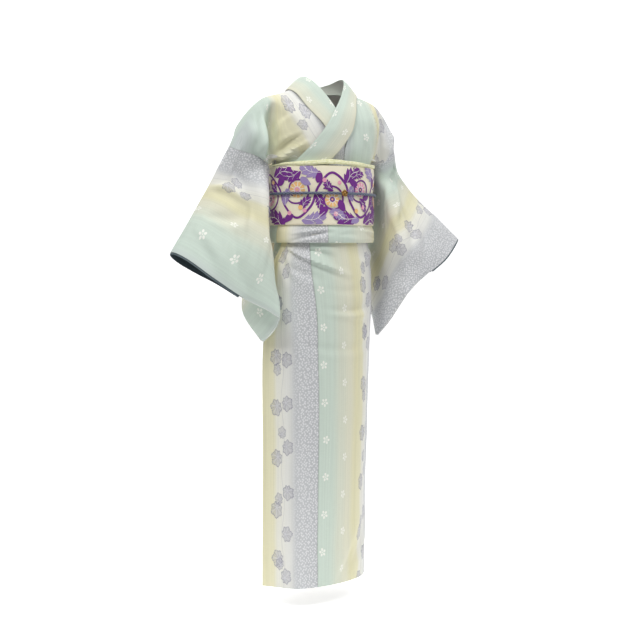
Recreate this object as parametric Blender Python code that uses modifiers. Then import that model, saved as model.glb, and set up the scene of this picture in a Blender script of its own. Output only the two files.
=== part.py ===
"""A tsumugi kimono as worn, closed left over right, with its belt set tied in a drum bow at the back.

Metres, +Z up. The origin lies between the two side-neck points, where the shoulders carry the garment.
The wearer would face -Y, so the wearer's right is -X. Every cloth piece is an open surface made from the
named sections below and given its wall by a Solidify modifier.
"""
import bmesh
import bpy
import numpy as np

# Cloth walls and the clearances between pieces
CLOTH = 0.0015
TUCK_CLOTH = 0.0012
LINING_CLOTH = 0.0010
COLLAR_CLOTH = 0.0018
OBI_CLOTH = 0.0040
SEAM_GAP = 0.0005
CENTRE_GAP = 0.0006
LAP_GAP = 0.0045
UNDER_FRONT_INSET = 0.0055

# Heights, counted from the side-neck points
HEM_Z = -1.291
UNDER_HEM_RISE = 0.014
SKIRT_TOP_Z = -0.378
BODICE_END_Z = -0.368
OBI_LOW_Z = -0.386
OBI_HIGH_Z = -0.237

# Plan of the belt round the waist: an oval about the garment's own axis
AXIS_X = 0.004
OBI_HALF_WIDTH = 0.143
OBI_HALF_DEPTH = 0.119

COLOURS = {
    "mint": (0.60, 0.72, 0.65, 1.0),
    "cream": (0.80, 0.79, 0.72, 1.0),
    "beige": (0.68, 0.66, 0.58, 1.0),
    "yellow": (0.77, 0.74, 0.53, 1.0),
    "lavender": (0.60, 0.60, 0.66, 1.0),
    "slate": (0.08, 0.11, 0.13, 1.0),
    "violet": (0.35, 0.10, 0.42, 1.0),
    "gold": (0.45, 0.30, 0.12, 1.0),
}

# The chest's form: its plan is an oval at each height. Columns: height, half width, half depth.
CHEST = [
    (-0.400, 0.1340, 0.1100),
    (-0.237, 0.1340, 0.1100),
    (-0.220, 0.1345, 0.1105),
    (-0.190, 0.1530, 0.1160),
    (-0.150, 0.1650, 0.1170),
    (-0.105, 0.1650, 0.1090),
    (-0.070, 0.1600, 0.0930),
    (-0.040, 0.1500, 0.0700),
]

# Collar stations from the over end, at the wearer's right waist, round the neck to the under end. Columns:
# name, inner edge (by the neck), outer edge. A depth of None lies on the chest's form, moved in by the inset.
COLLAR = [
    ("over end", (-0.119, None, -0.300), (-0.052, None, -0.300), 0.0),
    ("over belt", (-0.105, None, -0.232), (-0.028, None, -0.232), 0.0),
    ("over waist", (-0.076, None, -0.188), (0.003, None, -0.192), 0.0),
    ("over chest", (-0.041, None, -0.141), (0.034, None, -0.148), 0.0),
    ("crossing", (-0.008, None, -0.091), (0.050, None, -0.105), 0.0),
    ("over throat", (0.024, -0.078, -0.048), (0.067, -0.0760, -0.070), 0.0),
    ("over neck", (0.048, -0.043, -0.012), (0.087, -0.0400, -0.044), 0.0),
    ("left side", (0.059, 0.000, 0.000), (0.096, 0.0060, -0.036), 0.0),
    ("left nape", (0.047, 0.052, -0.008), (0.070, 0.0640, -0.052), 0.0),
    ("nape", (0.000, 0.082, -0.018), (0.000, 0.0960, -0.068), 0.0),
    ("right nape", (-0.047, 0.052, -0.008), (-0.070, 0.0640, -0.052), 0.0),
    ("right side", (-0.053, 0.000, 0.000), (-0.094, 0.0060, -0.036), 0.0),
    ("under neck", (-0.046, -0.043, -0.014), (-0.090, -0.0420, -0.050), 0.0),
    ("under throat", (-0.026, -0.076, -0.050), (-0.072, -0.0720, -0.088), 0.0),
    ("under crossing", (0.000, None, -0.096), (-0.043, None, -0.132), 0.0080),
    ("under chest", (0.032, None, -0.143), (-0.015, None, -0.178), 0.0095),
    ("under belt", (0.075, None, -0.212), (0.026, None, -0.240), 0.0100),
    ("under end", (0.088, None, -0.262), (0.040, None, -0.285), 0.0100),
]
COLLAR_BULGE = 0.0020
COLLAR_OVERLAP = 0.003
COLLAR_LIFT = 0.0050

# The over front's own edge beside its overlap panel, where a seam runs down from the collar, and the rows of
# that panel's strip above the belt. Columns: height, place on the collar's outer edge.
OVERLAP_SEAM_X = 0.015
OVERLAP_UPPER = [(-0.171, 2.45), (-0.192, 2.0), (-0.232, 1.0), (-0.300, 0.0), (BODICE_END_Z, 0.0)]
OVERLAP_UPPER_INSET = 0.0062

# Body sections of the wearer's right side above the belt, from the front over the shoulder to the back.
# Columns: name, place on the collar's outer edge (stations counted from its end), chest, side, valley pressed
# in by the arm, ridge, share of the sleeve's depth at the armhole (minus behind, None for a free edge).
BODY = [
    ("front rib", 2.20, (-0.070, None, -0.192), (-0.116, None, -0.196), (-0.150, -0.0340, -0.208),
     (-0.168, -0.0400, -0.216), 0.250),
    ("front bust", 3.25, (-0.088, None, -0.150), (-0.133, None, -0.153), (-0.163, -0.0300, -0.163),
     (-0.186, -0.0560, -0.182), 0.190),
    ("front chest", 4.20, (-0.104, None, -0.108), (-0.143, None, -0.109), (-0.170, -0.0280, -0.118),
     (-0.200, -0.0440, -0.148), 0.120),
    ("front top", 5.20, (-0.118, -0.0420, -0.064), (-0.151, -0.0350, -0.076), (-0.180, -0.0220, -0.097),
     (-0.211, -0.0140, -0.137), 0.055),
    ("shoulder", 6.00, (-0.124, 0.0060, -0.050), (-0.154, 0.0060, -0.059), (-0.183, 0.0080, -0.081),
     (-0.215, 0.0170, -0.126), 0.0),
    ("back top", 7.00, (-0.108, 0.0620, -0.070), (-0.148, 0.0540, -0.086), (-0.186, 0.0530, -0.112),
     (-0.220, 0.0540, -0.150), -0.055),
    ("back blade", 8.00, (-0.064, 0.0960, -0.104), (-0.112, 0.0940, -0.124), (-0.156, 0.0880, -0.150),
     (-0.192, 0.0840, -0.184), -0.140),
    ("back rib", 8.00, (-0.052, 0.1060, -0.162), (-0.098, 0.0970, -0.176), (-0.134, 0.0780, -0.196),
     (-0.158, 0.0660, -0.214), None),
]
BACK_RIB_EDGE = (-0.160, 0.0420, -0.2120)
# Directions in which the body's columns enter the belt, in degrees about the axis. Columns: chest to armhole.
FRONT_BELT_ANGLES = (-116, -137, -156, -167, -178)
BACK_BELT_ANGLES = (112, 134, 153, 165, 176)
# The body inside the belt. Columns: height, direction of the right front's hidden edge.
BELT_ROWS = [(-0.219, -84), (-0.262, -76), (BODICE_END_Z, -73)]
# How far in from the belt's face each column lies there: from the edge to the armhole.
LEFT_BELT_INSETS = (0.0132, 0.0110, 0.0100, 0.0100, 0.0100, 0.0100)
RIGHT_BELT_INSETS = (0.0240, 0.0190, 0.0150, 0.0115, 0.0105, 0.0100)
BACK_BELT_INSET = 0.0095

# Sleeve sections from the fold along the arm (0) to the bottom edge (1). Columns: depth share, armhole and
# open inner edge, inner bend, front bend beside the body, cuff edge. The wearer's left arm is held higher.
SLEEVE_RIGHT = [
    (0.00, (-0.242, 0.030, -0.185), (-0.262, 0.052, -0.235), (-0.292, 0.066, -0.300),
     (-0.408, 0.000, -0.455)),
    (0.12, (-0.205, 0.020, -0.199), (-0.219, 0.033, -0.262), (-0.257, 0.028, -0.332),
     (-0.371, -0.030, -0.481)),
    (0.21, (-0.181, 0.012, -0.220), (-0.196, 0.002, -0.275), (-0.224, -0.016, -0.355),
     (-0.345, -0.052, -0.501)),
    (0.30, (-0.170, 0.018, -0.255), (-0.179, -0.045, -0.300), (-0.195, -0.064, -0.385),
     (-0.319, -0.071, -0.520)),
    (0.50, (-0.179, 0.055, -0.335), (-0.179, -0.030, -0.385), (-0.184, -0.094, -0.450),
     (-0.253, -0.103, -0.567)),
    (0.70, (-0.185, 0.100, -0.410), (-0.183, 0.010, -0.475), (-0.187, -0.070, -0.545),
     (-0.188, -0.124, -0.612)),
    (0.85, (-0.182, 0.150, -0.455), (-0.188, 0.060, -0.515), (-0.192, -0.010, -0.585),
     (-0.172, -0.082, -0.650)),
    (1.00, (-0.178, 0.190, -0.500), (-0.172, 0.105, -0.565), (-0.195, 0.052, -0.610),
     (-0.172, -0.020, -0.682)),
]
SLEEVE_LEFT = [
    (0.00, (0.229, 0.026, -0.172), (0.257, 0.050, -0.226), (0.296, 0.066, -0.280), (0.431, 0.000, -0.419)),
    (0.12, (0.196, 0.018, -0.188), (0.216, 0.033, -0.252), (0.262, 0.028, -0.312), (0.394, -0.030, -0.443)),
    (0.21, (0.176, 0.012, -0.210), (0.194, 0.002, -0.264), (0.228, -0.016, -0.337), (0.366, -0.052, -0.460)),
    (0.30, (0.168, 0.018, -0.246), (0.180, -0.045, -0.290), (0.198, -0.064, -0.365), (0.338, -0.071, -0.476)),
    (0.50, (0.179, 0.055, -0.327), (0.180, -0.030, -0.372), (0.186, -0.094, -0.426), (0.267, -0.101, -0.513)),
    (0.70, (0.185, 0.100, -0.402), (0.184, 0.010, -0.462), (0.189, -0.068, -0.520), (0.196, -0.118, -0.562)),
    (0.85, (0.178, 0.150, -0.450), (0.182, 0.060, -0.510), (0.183, -0.008, -0.575), (0.168, -0.080, -0.630)),
    (1.00, (0.172, 0.190, -0.500), (0.168, 0.105, -0.565), (0.180, 0.052, -0.612), (0.162, -0.016, -0.682)),
]
# Half the distance between a sleeve's two layers. Columns: depth share, at the armhole, at the cuff.
SLEEVE_GAP = [
    (0.000, 0.0000, 0.0000),
    (0.010, 0.0140, 0.0130),
    (0.035, 0.0270, 0.0230),
    (0.080, 0.0370, 0.0290),
    (0.150, 0.0350, 0.0290),
    (0.210, 0.0250, 0.0250),
    (0.300, 0.0140, 0.0180),
    (0.400, 0.0090, 0.0120),
    (0.550, 0.0060, 0.0065),
    (0.985, 0.0048, 0.0048),
    (1.000, 0.0000, 0.0000),
]
SLEEVE_DEPTH_STEPS = (0, 0.010, 0.035, 0.08, 0.14, 0.21, 0.30, 0.39, 0.47,
                      0.56, 0.65, 0.74, 0.83, 0.92, 0.985, 1)
CUFF_OPENING = 0.47
LINING_START = 0.75
LINING_REACH = 0.0020
LINING_GAP = 0.0016

# Skirt sections in plan, from the free edge of the over front round the body. Columns: name, height, free
# edge, overlap middle, overlap seam, front middle, front corner, left side, back corner, back middle, right
# back corner, right side.
SKIRT = [
    ("hip", -0.485, (-0.148, -0.024), (-0.098, -0.084), (-0.044, -0.106), (0.034, -0.110), (0.096, -0.085),
     (0.1430, 0.000), (0.104, 0.082), (0.004, 0.114), (-0.096, 0.080), (-0.1340, 0.004)),
    ("thigh", -0.670, (-0.169, -0.018), (-0.108, -0.086), (-0.052, -0.104), (0.034, -0.108), (0.098, -0.080),
     (0.1400, 0.000), (0.100, 0.080), (0.004, 0.110), (-0.096, 0.076), (-0.1330, 0.008)),
    ("knee", -0.950, (-0.171, -0.018), (-0.108, -0.084), (-0.054, -0.099), (0.030, -0.101), (0.094, -0.072),
     (0.1330, 0.002), (0.094, 0.074), (0.004, 0.101), (-0.090, 0.070), (-0.1270, 0.010)),
    ("hem", HEM_Z, (-0.173, -0.020), (-0.106, -0.082), (-0.055, -0.094), (0.024, -0.091), (0.088, -0.068),
     (0.1260, 0.004), (0.088, 0.068), (0.004, 0.092), (-0.084, 0.066), (-0.1210, 0.012)),
]
# Each named place as a share of the way round, which is SKIRT_ROUND metres long.
SKIRT_ROUND = 0.86
SKIRT_PLACES = (0.0, 0.10, 0.165, 0.26, 0.34, 0.44, 0.55, 0.66, 0.77, 0.88)
SKIRT_BELT_ANGLES = (-166, -132, -108, -77, -48, 0, 45, 90, 135, 178)
SKIRT_BELT_INSETS = (0.0115,) * 8 + (0.0135, 0.0165)
# Where the right front lies under the over front. Columns: share of the way round, outer share it follows.
SKIRT_LAP = [(1.03, 0.075), (1.10, 0.115), (1.17, 0.170), (1.27, 0.265), (1.35, 0.345), (1.40, 0.400)]
UNDER_BELT_Z = -0.433
SKIRT_HEIGHTS = (SKIRT_TOP_Z, UNDER_BELT_Z, -0.455, -0.485, -0.520, -0.565, -0.620, -0.700, -0.820, -0.980,
                 -1.140, HEM_Z)
# Where the right front's hem begins to rise: share of the way round with the stretch it takes,
# height likewise.
UNDER_RISE_FROM = (0.90, 0.14)
UNDER_RISE_BELOW = (0.90, 0.39)
# The pieces round the skirt. Columns: name, colour, first and last share of the way round, columns of points.
SKIRT_PIECES = [
    ("overlap_left", "lavender", 0.000, 0.165, 9),
    ("front_left", "mint", 0.165, 0.440, 13),
    ("back_left", "cream", 0.440, 0.660, 9),
    ("back_right", "cream", 0.660, 0.880, 9),
    ("front_right", "yellow", 0.880, 1.200, 10),
    ("overlap_right", "lavender", 1.200, 1.390, 6),
]
# Folds that the belt draws in the skirt. Columns: start (share round, height), end, half width, rise.
SKIRT_FOLDS = [
    ((0.010, -0.440), (0.200, -0.520), 0.015, 0.0045),
    ((0.000, -0.500), (0.150, -0.590), 0.018, 0.0035),
    ((0.290, -0.500), (0.430, -0.470), 0.016, 0.0030),
    ((0.600, -0.540), (0.730, -0.480), 0.018, 0.0030),
]

# The cloth folded up under the belt, as a strip round the waist. Columns: inset from the belt's face, height.
TUCK_SECTION = [
    (0.0049, -0.374), (0.0048, -0.387), (0.0015, -0.396), (-0.0005, -0.412), (0.0005, -0.426),
    (0.0030, -0.4305), (0.0060, -0.4265), (0.0066, -0.408), (0.0074, -0.392),
]
TUCK_MIDDLE = (0.0040, -0.405)
TUCK_PIECES = [
    ("tuck_overlap", "lavender", -168, -106, 10),
    ("tuck_front", "mint", -106, 0, 16),
    ("tuck_back", "cream", 0, 192, 24),
]

# The belt cord presses a groove into the belt, whose section says how far its face stands out, and
# its height.
CORD_Z = -0.3065
CORD_GROOVE = 0.0015
OBI_SECTION = [(0.0, OBI_LOW_Z), (0.0, -0.372), (0.0, -0.335), (-CORD_GROOVE, CORD_Z), (0.0005, -0.278),
               (0.001, -0.252), (0.0, OBI_HIGH_Z)]
# The drum bow. Columns of a section: y and z of its outer face. Its ends curve towards the body.
BOW_CURVE = 0.006
DRUM_HALF_WIDTH = 0.150
DRUM_SECTION = [
    (0.1208, -0.268), (0.1212, -0.246), (0.1500, -0.207), (0.1840, -0.203),
     (0.2120, -0.226), (0.2240, -0.268),
    (0.2270, -0.330), (0.2240, -0.400), (0.2130, -0.450), (0.1930, -0.470),
     (0.1700, -0.464), (0.1560, -0.440),
]
TAIL_HALF_WIDTH = 0.147
TAIL_SECTION = [(0.1553, -0.415), (0.1554, -0.442), (0.1575, -0.485), (0.1620, -0.530)]
HAND_HALF_WIDTH = 0.168
HAND_LOW_Z = -0.420
HAND_HIGH_Z = -0.276
HAND_Y = 0.186
HAND_HALF_THICKNESS = 0.0040

CORD_RADIUS = 0.0034
CORD_CLEAR = 0.0012
# The cord's way from the belt round the hand's end and over it, inside the drum. Columns: x from
# the middle, y.
CORD_SIDE = [(0.1510, 0.080), (0.1590, 0.115), (0.1690, 0.150), (0.1765, 0.179), (0.1765, 0.1915),
             (0.168, 0.1960),
             (0.150, 0.1943), (0.110, 0.1938), (0.060, 0.1938), (0.020, 0.1938)]
SASH_RADIUS = 0.0048
SASH_INSET = 0.0014
SASH_CLEAR = 0.0008
# The blossom on the cord. Columns of a ring: share of its depth, share of its radius.
ORNAMENT_RADIUS = 0.009
ORNAMENT_DEPTH = 0.004
ORNAMENT_PETALS = 5
ORNAMENT_NOTCH = 0.20
ORNAMENT_RINGS = [(0.0, 0.90), (0.55, 1.0), (1.0, 0.78)]


def through(keys, places, at):
    """A smooth curve through the key points, which stand at rising places, read at the places in at."""
    keys = np.asarray(keys, float).reshape(len(keys), -1)
    places = np.asarray(places, float)
    slopes = np.diff(keys, axis=0) / np.diff(places)[:, None]
    tangents = np.empty_like(keys)
    tangents[0] = slopes[0]
    tangents[-1] = slopes[-1]
    before = np.diff(places)[:-1, None]
    after = np.diff(places)[1:, None]
    tangents[1:-1] = (slopes[:-1] * after + slopes[1:] * before) / (before + after)
    at = np.clip(np.atleast_1d(np.asarray(at, float)), places[0], places[-1])
    span = np.clip(np.searchsorted(places, at, side="right") - 1, 0, len(places) - 2)
    step = (places[span + 1] - places[span])[:, None]
    t = (at - places[span])[:, None] / step
    return (
        keys[span] * (2 * t**3 - 3 * t**2 + 1)
        + keys[span + 1] * (3 * t**2 - 2 * t**3)
        + tangents[span] * step * (t**3 - 2 * t**2 + t)
        + tangents[span + 1] * step * (t**3 - t**2)
    )


def lengths(points):
    """How far along its line each point lies."""
    steps = np.linalg.norm(np.diff(points, axis=0), axis=1)
    return np.concatenate([[0.0], np.cumsum(steps)])


def evenly(points, shares):
    """The smooth line through the points, read at shares of its length."""
    keys = np.asarray(points, float)
    fine = through(keys, lengths(keys), np.linspace(0, lengths(keys)[-1], 161))
    run = lengths(fine)
    return np.column_stack([np.interp(np.asarray(shares) * run[-1], run, fine[:, i]) for i in range(3)])


def unit(vectors):
    return vectors / np.maximum(np.linalg.norm(vectors, axis=-1, keepdims=True), 1e-12)


def fresh_scene():
    for obj in list(bpy.data.objects):
        bpy.data.objects.remove(obj, do_unlink=True)
    collection = bpy.data.collections.new("kimono")
    bpy.context.scene.collection.children.link(collection)
    return collection


def material(name):
    if name in bpy.data.materials:
        return bpy.data.materials[name]
    made = bpy.data.materials.new(name)
    made.use_nodes = True
    made.node_tree.nodes["Principled BSDF"].inputs["Base Color"].default_value = COLOURS[name]
    made.node_tree.nodes["Principled BSDF"].inputs["Roughness"].default_value = 0.8
    return made


def cloth(collection, name, grid, colour, outward, wall=CLOTH, wrap=False, strips=()):
    """A piece of cloth: the grid of its outer points, with its wall on the side away from outward.

    outward is a direction for each point. A wrapped grid closes round its second index, and strips are
    further faces, given by the grid's running numbers.
    """
    rows, columns = grid.shape[:2]
    mesh = bmesh.new()
    points = [mesh.verts.new(point) for point in grid.reshape(-1, 3)]
    faces = list(strips)
    for row in range(rows - 1):
        for column in range(columns if wrap else columns - 1):
            beside = (column + 1) % columns
            faces.append((row * columns + column, row * columns + beside,
                          (row + 1) * columns + beside, (row + 1) * columns + column))
    for corners in faces:
        mesh.faces.new([points[i] for i in corners])
    bmesh.ops.recalc_face_normals(mesh, faces=mesh.faces)
    away = outward.reshape(-1, 3)
    facing = sum(np.dot(face.normal, away[[v.index for v in face.verts]].sum(axis=0))
                 for face in indexed(mesh))
    if facing < 0:
        bmesh.ops.reverse_faces(mesh, faces=mesh.faces)
    data = bpy.data.meshes.new(name)
    mesh.to_mesh(data)
    mesh.free()
    data.shade_smooth()
    obj = bpy.data.objects.new(name, data)
    obj.data.materials.append(material(colour))
    solid = obj.modifiers.new("wall", "SOLIDIFY")
    solid.thickness = wall
    solid.offset = -1.0
    solid.use_even_offset = True
    collection.objects.link(obj)
    return obj


def indexed(mesh):
    mesh.verts.index_update()
    return mesh.faces


def tube(collection, name, points, radius, colour, closed):
    """A round cord or roll along the points."""
    curve = bpy.data.curves.new(name, "CURVE")
    curve.dimensions = "3D"
    curve.bevel_depth = radius
    curve.bevel_resolution = 2
    curve.use_fill_caps = True
    spline = curve.splines.new("POLY")
    spline.points.add(len(points) - 1)
    spline.use_cyclic_u = closed
    for knot, point in zip(spline.points, points):
        knot.co = (*point, 1.0)
    obj = bpy.data.objects.new(name, curve)
    curve.materials.append(material(colour))
    collection.objects.link(obj)
    return obj


def chest_point(x, z, inset):
    """A point of the chest's form at this x and height, moved in by the inset."""
    heights = [row[0] for row in CHEST]
    half_width, half_depth = through([row[1:] for row in CHEST], heights, z)[0] - inset
    share = min(abs(x - AXIS_X) / half_width, 0.995)
    return np.array([x, -half_depth * np.sqrt(1 - share**2), z])


def placed(key, inset):
    """A key point, with a depth of None taken from the chest's form."""
    x, y, z = key
    return chest_point(x, z, inset) if y is None else np.array(key, float)


def oval(degrees, inset, z):
    """A point of the waist's oval, moved in from the belt's face. 0 is the wearer's left, -90 the front."""
    angle = np.radians(degrees)
    return np.array([
        AXIS_X + (OBI_HALF_WIDTH - inset) * np.cos(angle),
        (OBI_HALF_DEPTH - inset) * np.sin(angle),
        z,
    ])


def collar_at(places, across=(0.0, 1.0)):
    """The collar's points at station numbers, across its width, and its outward direction there."""
    stations = np.arange(len(COLLAR))
    places = np.atleast_1d(np.asarray(places, float))
    lines = []
    for share in across:
        keys = []
        for _, inner, outer, inset in COLLAR:
            (x0, y0, z0), (x1, y1, z1) = inner, outer
            depth = None if y0 is None else y0 + (y1 - y0) * share
            keys.append(placed((x0 + (x1 - x0) * share, depth, z0 + (z1 - z0) * share), inset))
        lines.append([through(keys, stations, places + step) for step in (-0.05, 0, 0.05)])
    lines = np.array(lines)
    along = (lines[:, 2] - lines[:, 0]).sum(axis=0)
    out = unit(np.cross(lines[-1, 1] - lines[0, 1], along))
    return lines[:, 1].transpose(1, 0, 2), out


def make_collar(collection):
    shares = np.array([0.0, 0.25, 0.5, 0.75, 1.0])
    line, out = collar_at(np.linspace(0, len(COLLAR) - 1, 52), shares)
    bulge = COLLAR_BULGE * np.sin(np.pi * shares)
    grid = line + out[:, None] * bulge[None, :, None]
    cloth(collection, "collar", grid, "mint", np.repeat(out[:, None], len(shares), axis=1), COLLAR_CLOTH)


def body_edge(place):
    """Where a body panel begins: under the collar's outer edge, a little way in."""
    line, out = collar_at(place)
    inner, outer = line[0]
    return outer - unit(outer - inner) * COLLAR_OVERLAP - out[0] * COLLAR_LIFT


def sleeve_middle(side, depth_shares, length_shares):
    """The surface half way between a sleeve's two layers, and its direction towards the front."""
    table = SLEEVE_LEFT if side > 0 else SLEEVE_RIGHT
    depths = [row[0] for row in table]

    def surface(down, along):
        lines = np.array([evenly(row[1:], np.clip(along, 0, 1)) for row in table])
        points = through(lines.reshape(len(table), -1), depths, np.clip(down, 0, 1))
        return points.reshape(len(down), len(along), 3)

    step = 0.02
    downward = surface(depth_shares + step, length_shares) - surface(depth_shares - step, length_shares)
    onward = surface(depth_shares, length_shares + step) - surface(depth_shares, length_shares - step)
    return surface(depth_shares, length_shares), unit(np.cross(onward, downward)) * (-side)


def sleeve_layers(side, depth_shares, length_shares, inset=0.0):
    """A sleeve's front and back layer, as grids of depth by length, moved in by the inset."""
    depth_shares = np.asarray(depth_shares, float)
    length_shares = np.asarray(length_shares, float)
    middle, front = sleeve_middle(side, depth_shares, length_shares)
    steps = [row[0] for row in SLEEVE_GAP]
    at_arm = np.interp(depth_shares, steps, [row[1] for row in SLEEVE_GAP])[:, None]
    at_cuff = np.interp(depth_shares, steps, [row[2] for row in SLEEVE_GAP])[:, None]
    gap = at_arm + (at_cuff - at_arm) * length_shares[None, :]
    gap = np.maximum(gap - inset, 0.0)[..., None]
    return middle + front * gap, middle - front * gap, middle


def armhole_point(side, depth):
    """A point of the sleeve's edge at the armhole, on the front layer, or on the back layer below zero."""
    front, back, _ = sleeve_layers(side, [abs(depth)], [0.0, 0.02])
    layer = front if depth >= 0 else back
    return layer[0, 0] + unit(layer[0, 0] - layer[0, 1]) * SEAM_GAP


def body_sections(side):
    """The body's sections on one side, from the front belt over the shoulder to the back belt."""
    inset = 0.0 if side > 0 else UNDER_FRONT_INSET
    sections = []
    for z, edge_angle in reversed(BELT_ROWS):
        insets = LEFT_BELT_INSETS if side > 0 else RIGHT_BELT_INSETS
        angles = [-180 - angle if side > 0 else angle for angle in FRONT_BELT_ANGLES]
        row = [oval(angle, inset_there, z) for angle, inset_there in zip([edge_angle] + angles, insets)]
        if side > 0:
            row[0] = chest_point(OVERLAP_SEAM_X, z, COLLAR_LIFT)
        sections.append(row)
    for name, place, chest, flank, valley, ridge, depth in BODY:
        station = place if side > 0 else len(COLLAR) - 1 - place
        if name == "back rib":
            edge = np.array([side * CENTRE_GAP, chest[1] + 0.003, chest[2]])
        elif side > 0 and name == "front rib":
            edge = chest_point(OVERLAP_SEAM_X, chest[2], COLLAR_LIFT)
        else:
            edge = body_edge(station)
            if name == "back blade":
                edge[0] = side * CENTRE_GAP
        keys = [placed((x, y, z), inset) for x, y, z in (chest, flank, valley, ridge)]
        if depth is None:
            keys.append(np.array(BACK_RIB_EDGE))
        keys = [np.array([-side * key[0], key[1], key[2]]) for key in keys]
        if depth is not None:
            keys.append(armhole_point(side, depth))
        sections.append([edge, *keys])
    for z, _ in BELT_ROWS:
        row = [oval(90, BACK_BELT_INSET, z)]
        row[0][0] = side * CENTRE_GAP
        row += [oval(180 - angle if side > 0 else angle, BACK_BELT_INSET, z) for angle in BACK_BELT_ANGLES]
        sections.append(row)
    return np.array(sections)


def make_body(collection, side):
    """One body panel: its rows meet the sleeve's edge at the sleeve's own depth steps."""
    sections = body_sections(side)
    count = len(sections)
    run = lengths(sections[:, 2])
    first = len(BELT_ROWS)
    depths = [row[-1] for row in BODY if row[-1] is not None]
    steps = [step for step in SLEEVE_DEPTH_STEPS if step < depths[0]]
    steps = steps[:0:-1] + [-step for step in steps]
    steps = [step for step in steps if step > depths[-1]]
    met = np.interp(steps, depths[::-1], run[first:first + len(depths)][::-1])
    below = [run[0], (run[0] + run[1]) / 2, run[1], (run[1] + run[2]) / 2, run[2], (run[2] + run[first]) / 2,
             run[first]]
    above = run[first + len(depths) - 1:]
    above = [above[0], (above[0] + above[1]) / 2, above[1], (above[1] + above[2]) / 2, above[2], above[3],
             (above[3] + above[4]) / 2, above[4]]
    at = np.concatenate([below, met, above])
    rows = through(sections.reshape(count, -1), run, at).reshape(len(at), -1, 3)
    for row, depth in zip(range(len(below), len(below) + len(met)), steps):
        rows[row, -1] = armhole_point(side, depth)
    grid = np.array([evenly(row, np.linspace(0, 1, 12)) for row in rows])
    centre = np.array([side * 0.10, 0.0, -0.30])
    name = "body_left" if side > 0 else "body_right"
    cloth(collection, name, grid, "cream", grid - centre)


def make_overlap_upper(collection):
    """The strip of the left overlap panel that shows between the collar and the over front."""
    rows = []
    for z, place in OVERLAP_UPPER:
        across = np.linspace(body_edge(place)[0], OVERLAP_SEAM_X - 3 * SEAM_GAP, 6)
        rows.append([chest_point(x, z, OVERLAP_UPPER_INSET) for x in across])
    grid = np.array(rows)
    cloth(collection, "overlap_left_upper", grid, "lavender", np.broadcast_to([0.0, -1.0, 0.0], grid.shape))


def make_sleeve(collection, side):
    depths = np.array(SLEEVE_DEPTH_STEPS)
    along = np.linspace(0, 1, 13)
    front, back, middle = sleeve_layers(side, depths, along)
    grid = np.concatenate([front, back[-2:0:-1]])
    core = np.concatenate([middle, middle[-2:0:-1]])
    grid = grid.transpose(1, 0, 2)
    core = core.transpose(1, 0, 2)
    ring = grid.shape[1]
    cuff = (len(along) - 1) * ring
    closed_from = SLEEVE_DEPTH_STEPS.index(CUFF_OPENING)
    strips = []
    for step in range(closed_from, len(depths) - 1):
        corners = [cuff + step, cuff + step + 1, cuff + (ring - step - 1) % ring, cuff + (ring - step) % ring]
        strips.append(tuple(dict.fromkeys(corners)))
    name = "sleeve_left" if side > 0 else "sleeve_right"
    cloth(collection, name, grid, "mint", grid - core, wrap=True, strips=strips)


def make_cuff_lining(collection, side):
    """A band of lining inside the cuff opening, which shows past the sleeve's edge by a hair."""
    depths = np.array([step for step in SLEEVE_DEPTH_STEPS if step < CUFF_OPENING] + [CUFF_OPENING - 0.02])
    along = np.linspace(LINING_START, 1, 4)
    front, back, middle = sleeve_layers(side, depths, along, CLOTH + LINING_GAP)
    keep = slice(2, None)
    grid = np.concatenate([back[keep][::-1], front[keep]]).transpose(1, 0, 2)
    core = np.concatenate([middle[keep][::-1], middle[keep]]).transpose(1, 0, 2)
    grid[-1] += unit(grid[-1] - grid[-2]) * LINING_REACH
    name = "cuff_lining_left" if side > 0 else "cuff_lining_right"
    cloth(collection, name, grid, "slate", grid - core, LINING_CLOTH)


def skirt_line(z, shares):
    """The skirt's line at one height, from the free edge round the body and in under the over front."""
    heights = [-row[1] for row in SKIRT]
    belt = np.array([oval(*place, 0)[:2] for place in zip(SKIRT_BELT_ANGLES, SKIRT_BELT_INSETS)])
    keys = np.array([belt, belt] + [row[2:] for row in SKIRT])
    outer = through(keys.reshape(len(keys), -1), [-SKIRT_TOP_Z, -UNDER_BELT_Z] + heights, -z).reshape(-1, 2)
    lap = []
    for _, follows in SKIRT_LAP:
        ahead, here, behind = through(outer, SKIRT_PLACES, [follows + 0.01, follows, follows - 0.01])
        along = unit(ahead - behind)
        lap.append(here + LAP_GAP * np.array([-along[1], along[0]]))
    places = list(SKIRT_PLACES) + [row[0] for row in SKIRT_LAP]
    plan = through(np.concatenate([outer, lap]), places, shares)
    tangent = unit(np.gradient(plan, axis=0))
    out = np.column_stack([tangent[:, 1], -tangent[:, 0], np.zeros(len(plan))])
    return np.column_stack([plan, np.full(len(plan), z)]), out


def fold_rise(shares, z):
    """How far the folds that the belt draws stand out."""
    rise = np.zeros(len(shares))
    for (from_share, from_z), (to_share, to_z), half_width, height in SKIRT_FOLDS:
        line = np.array([(to_share - from_share) * SKIRT_ROUND, to_z - from_z])
        reach = np.column_stack([(shares - from_share) * SKIRT_ROUND, np.full(len(shares), z - from_z)])
        along = np.clip(reach @ line / (line @ line), 0, 1)
        off = np.linalg.norm(reach - along[:, None] * line, axis=1)
        rise += height * np.exp(-((off / half_width) ** 2)) * np.sin(np.pi * np.clip(along, 0.12, 0.88))
    return rise


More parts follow.
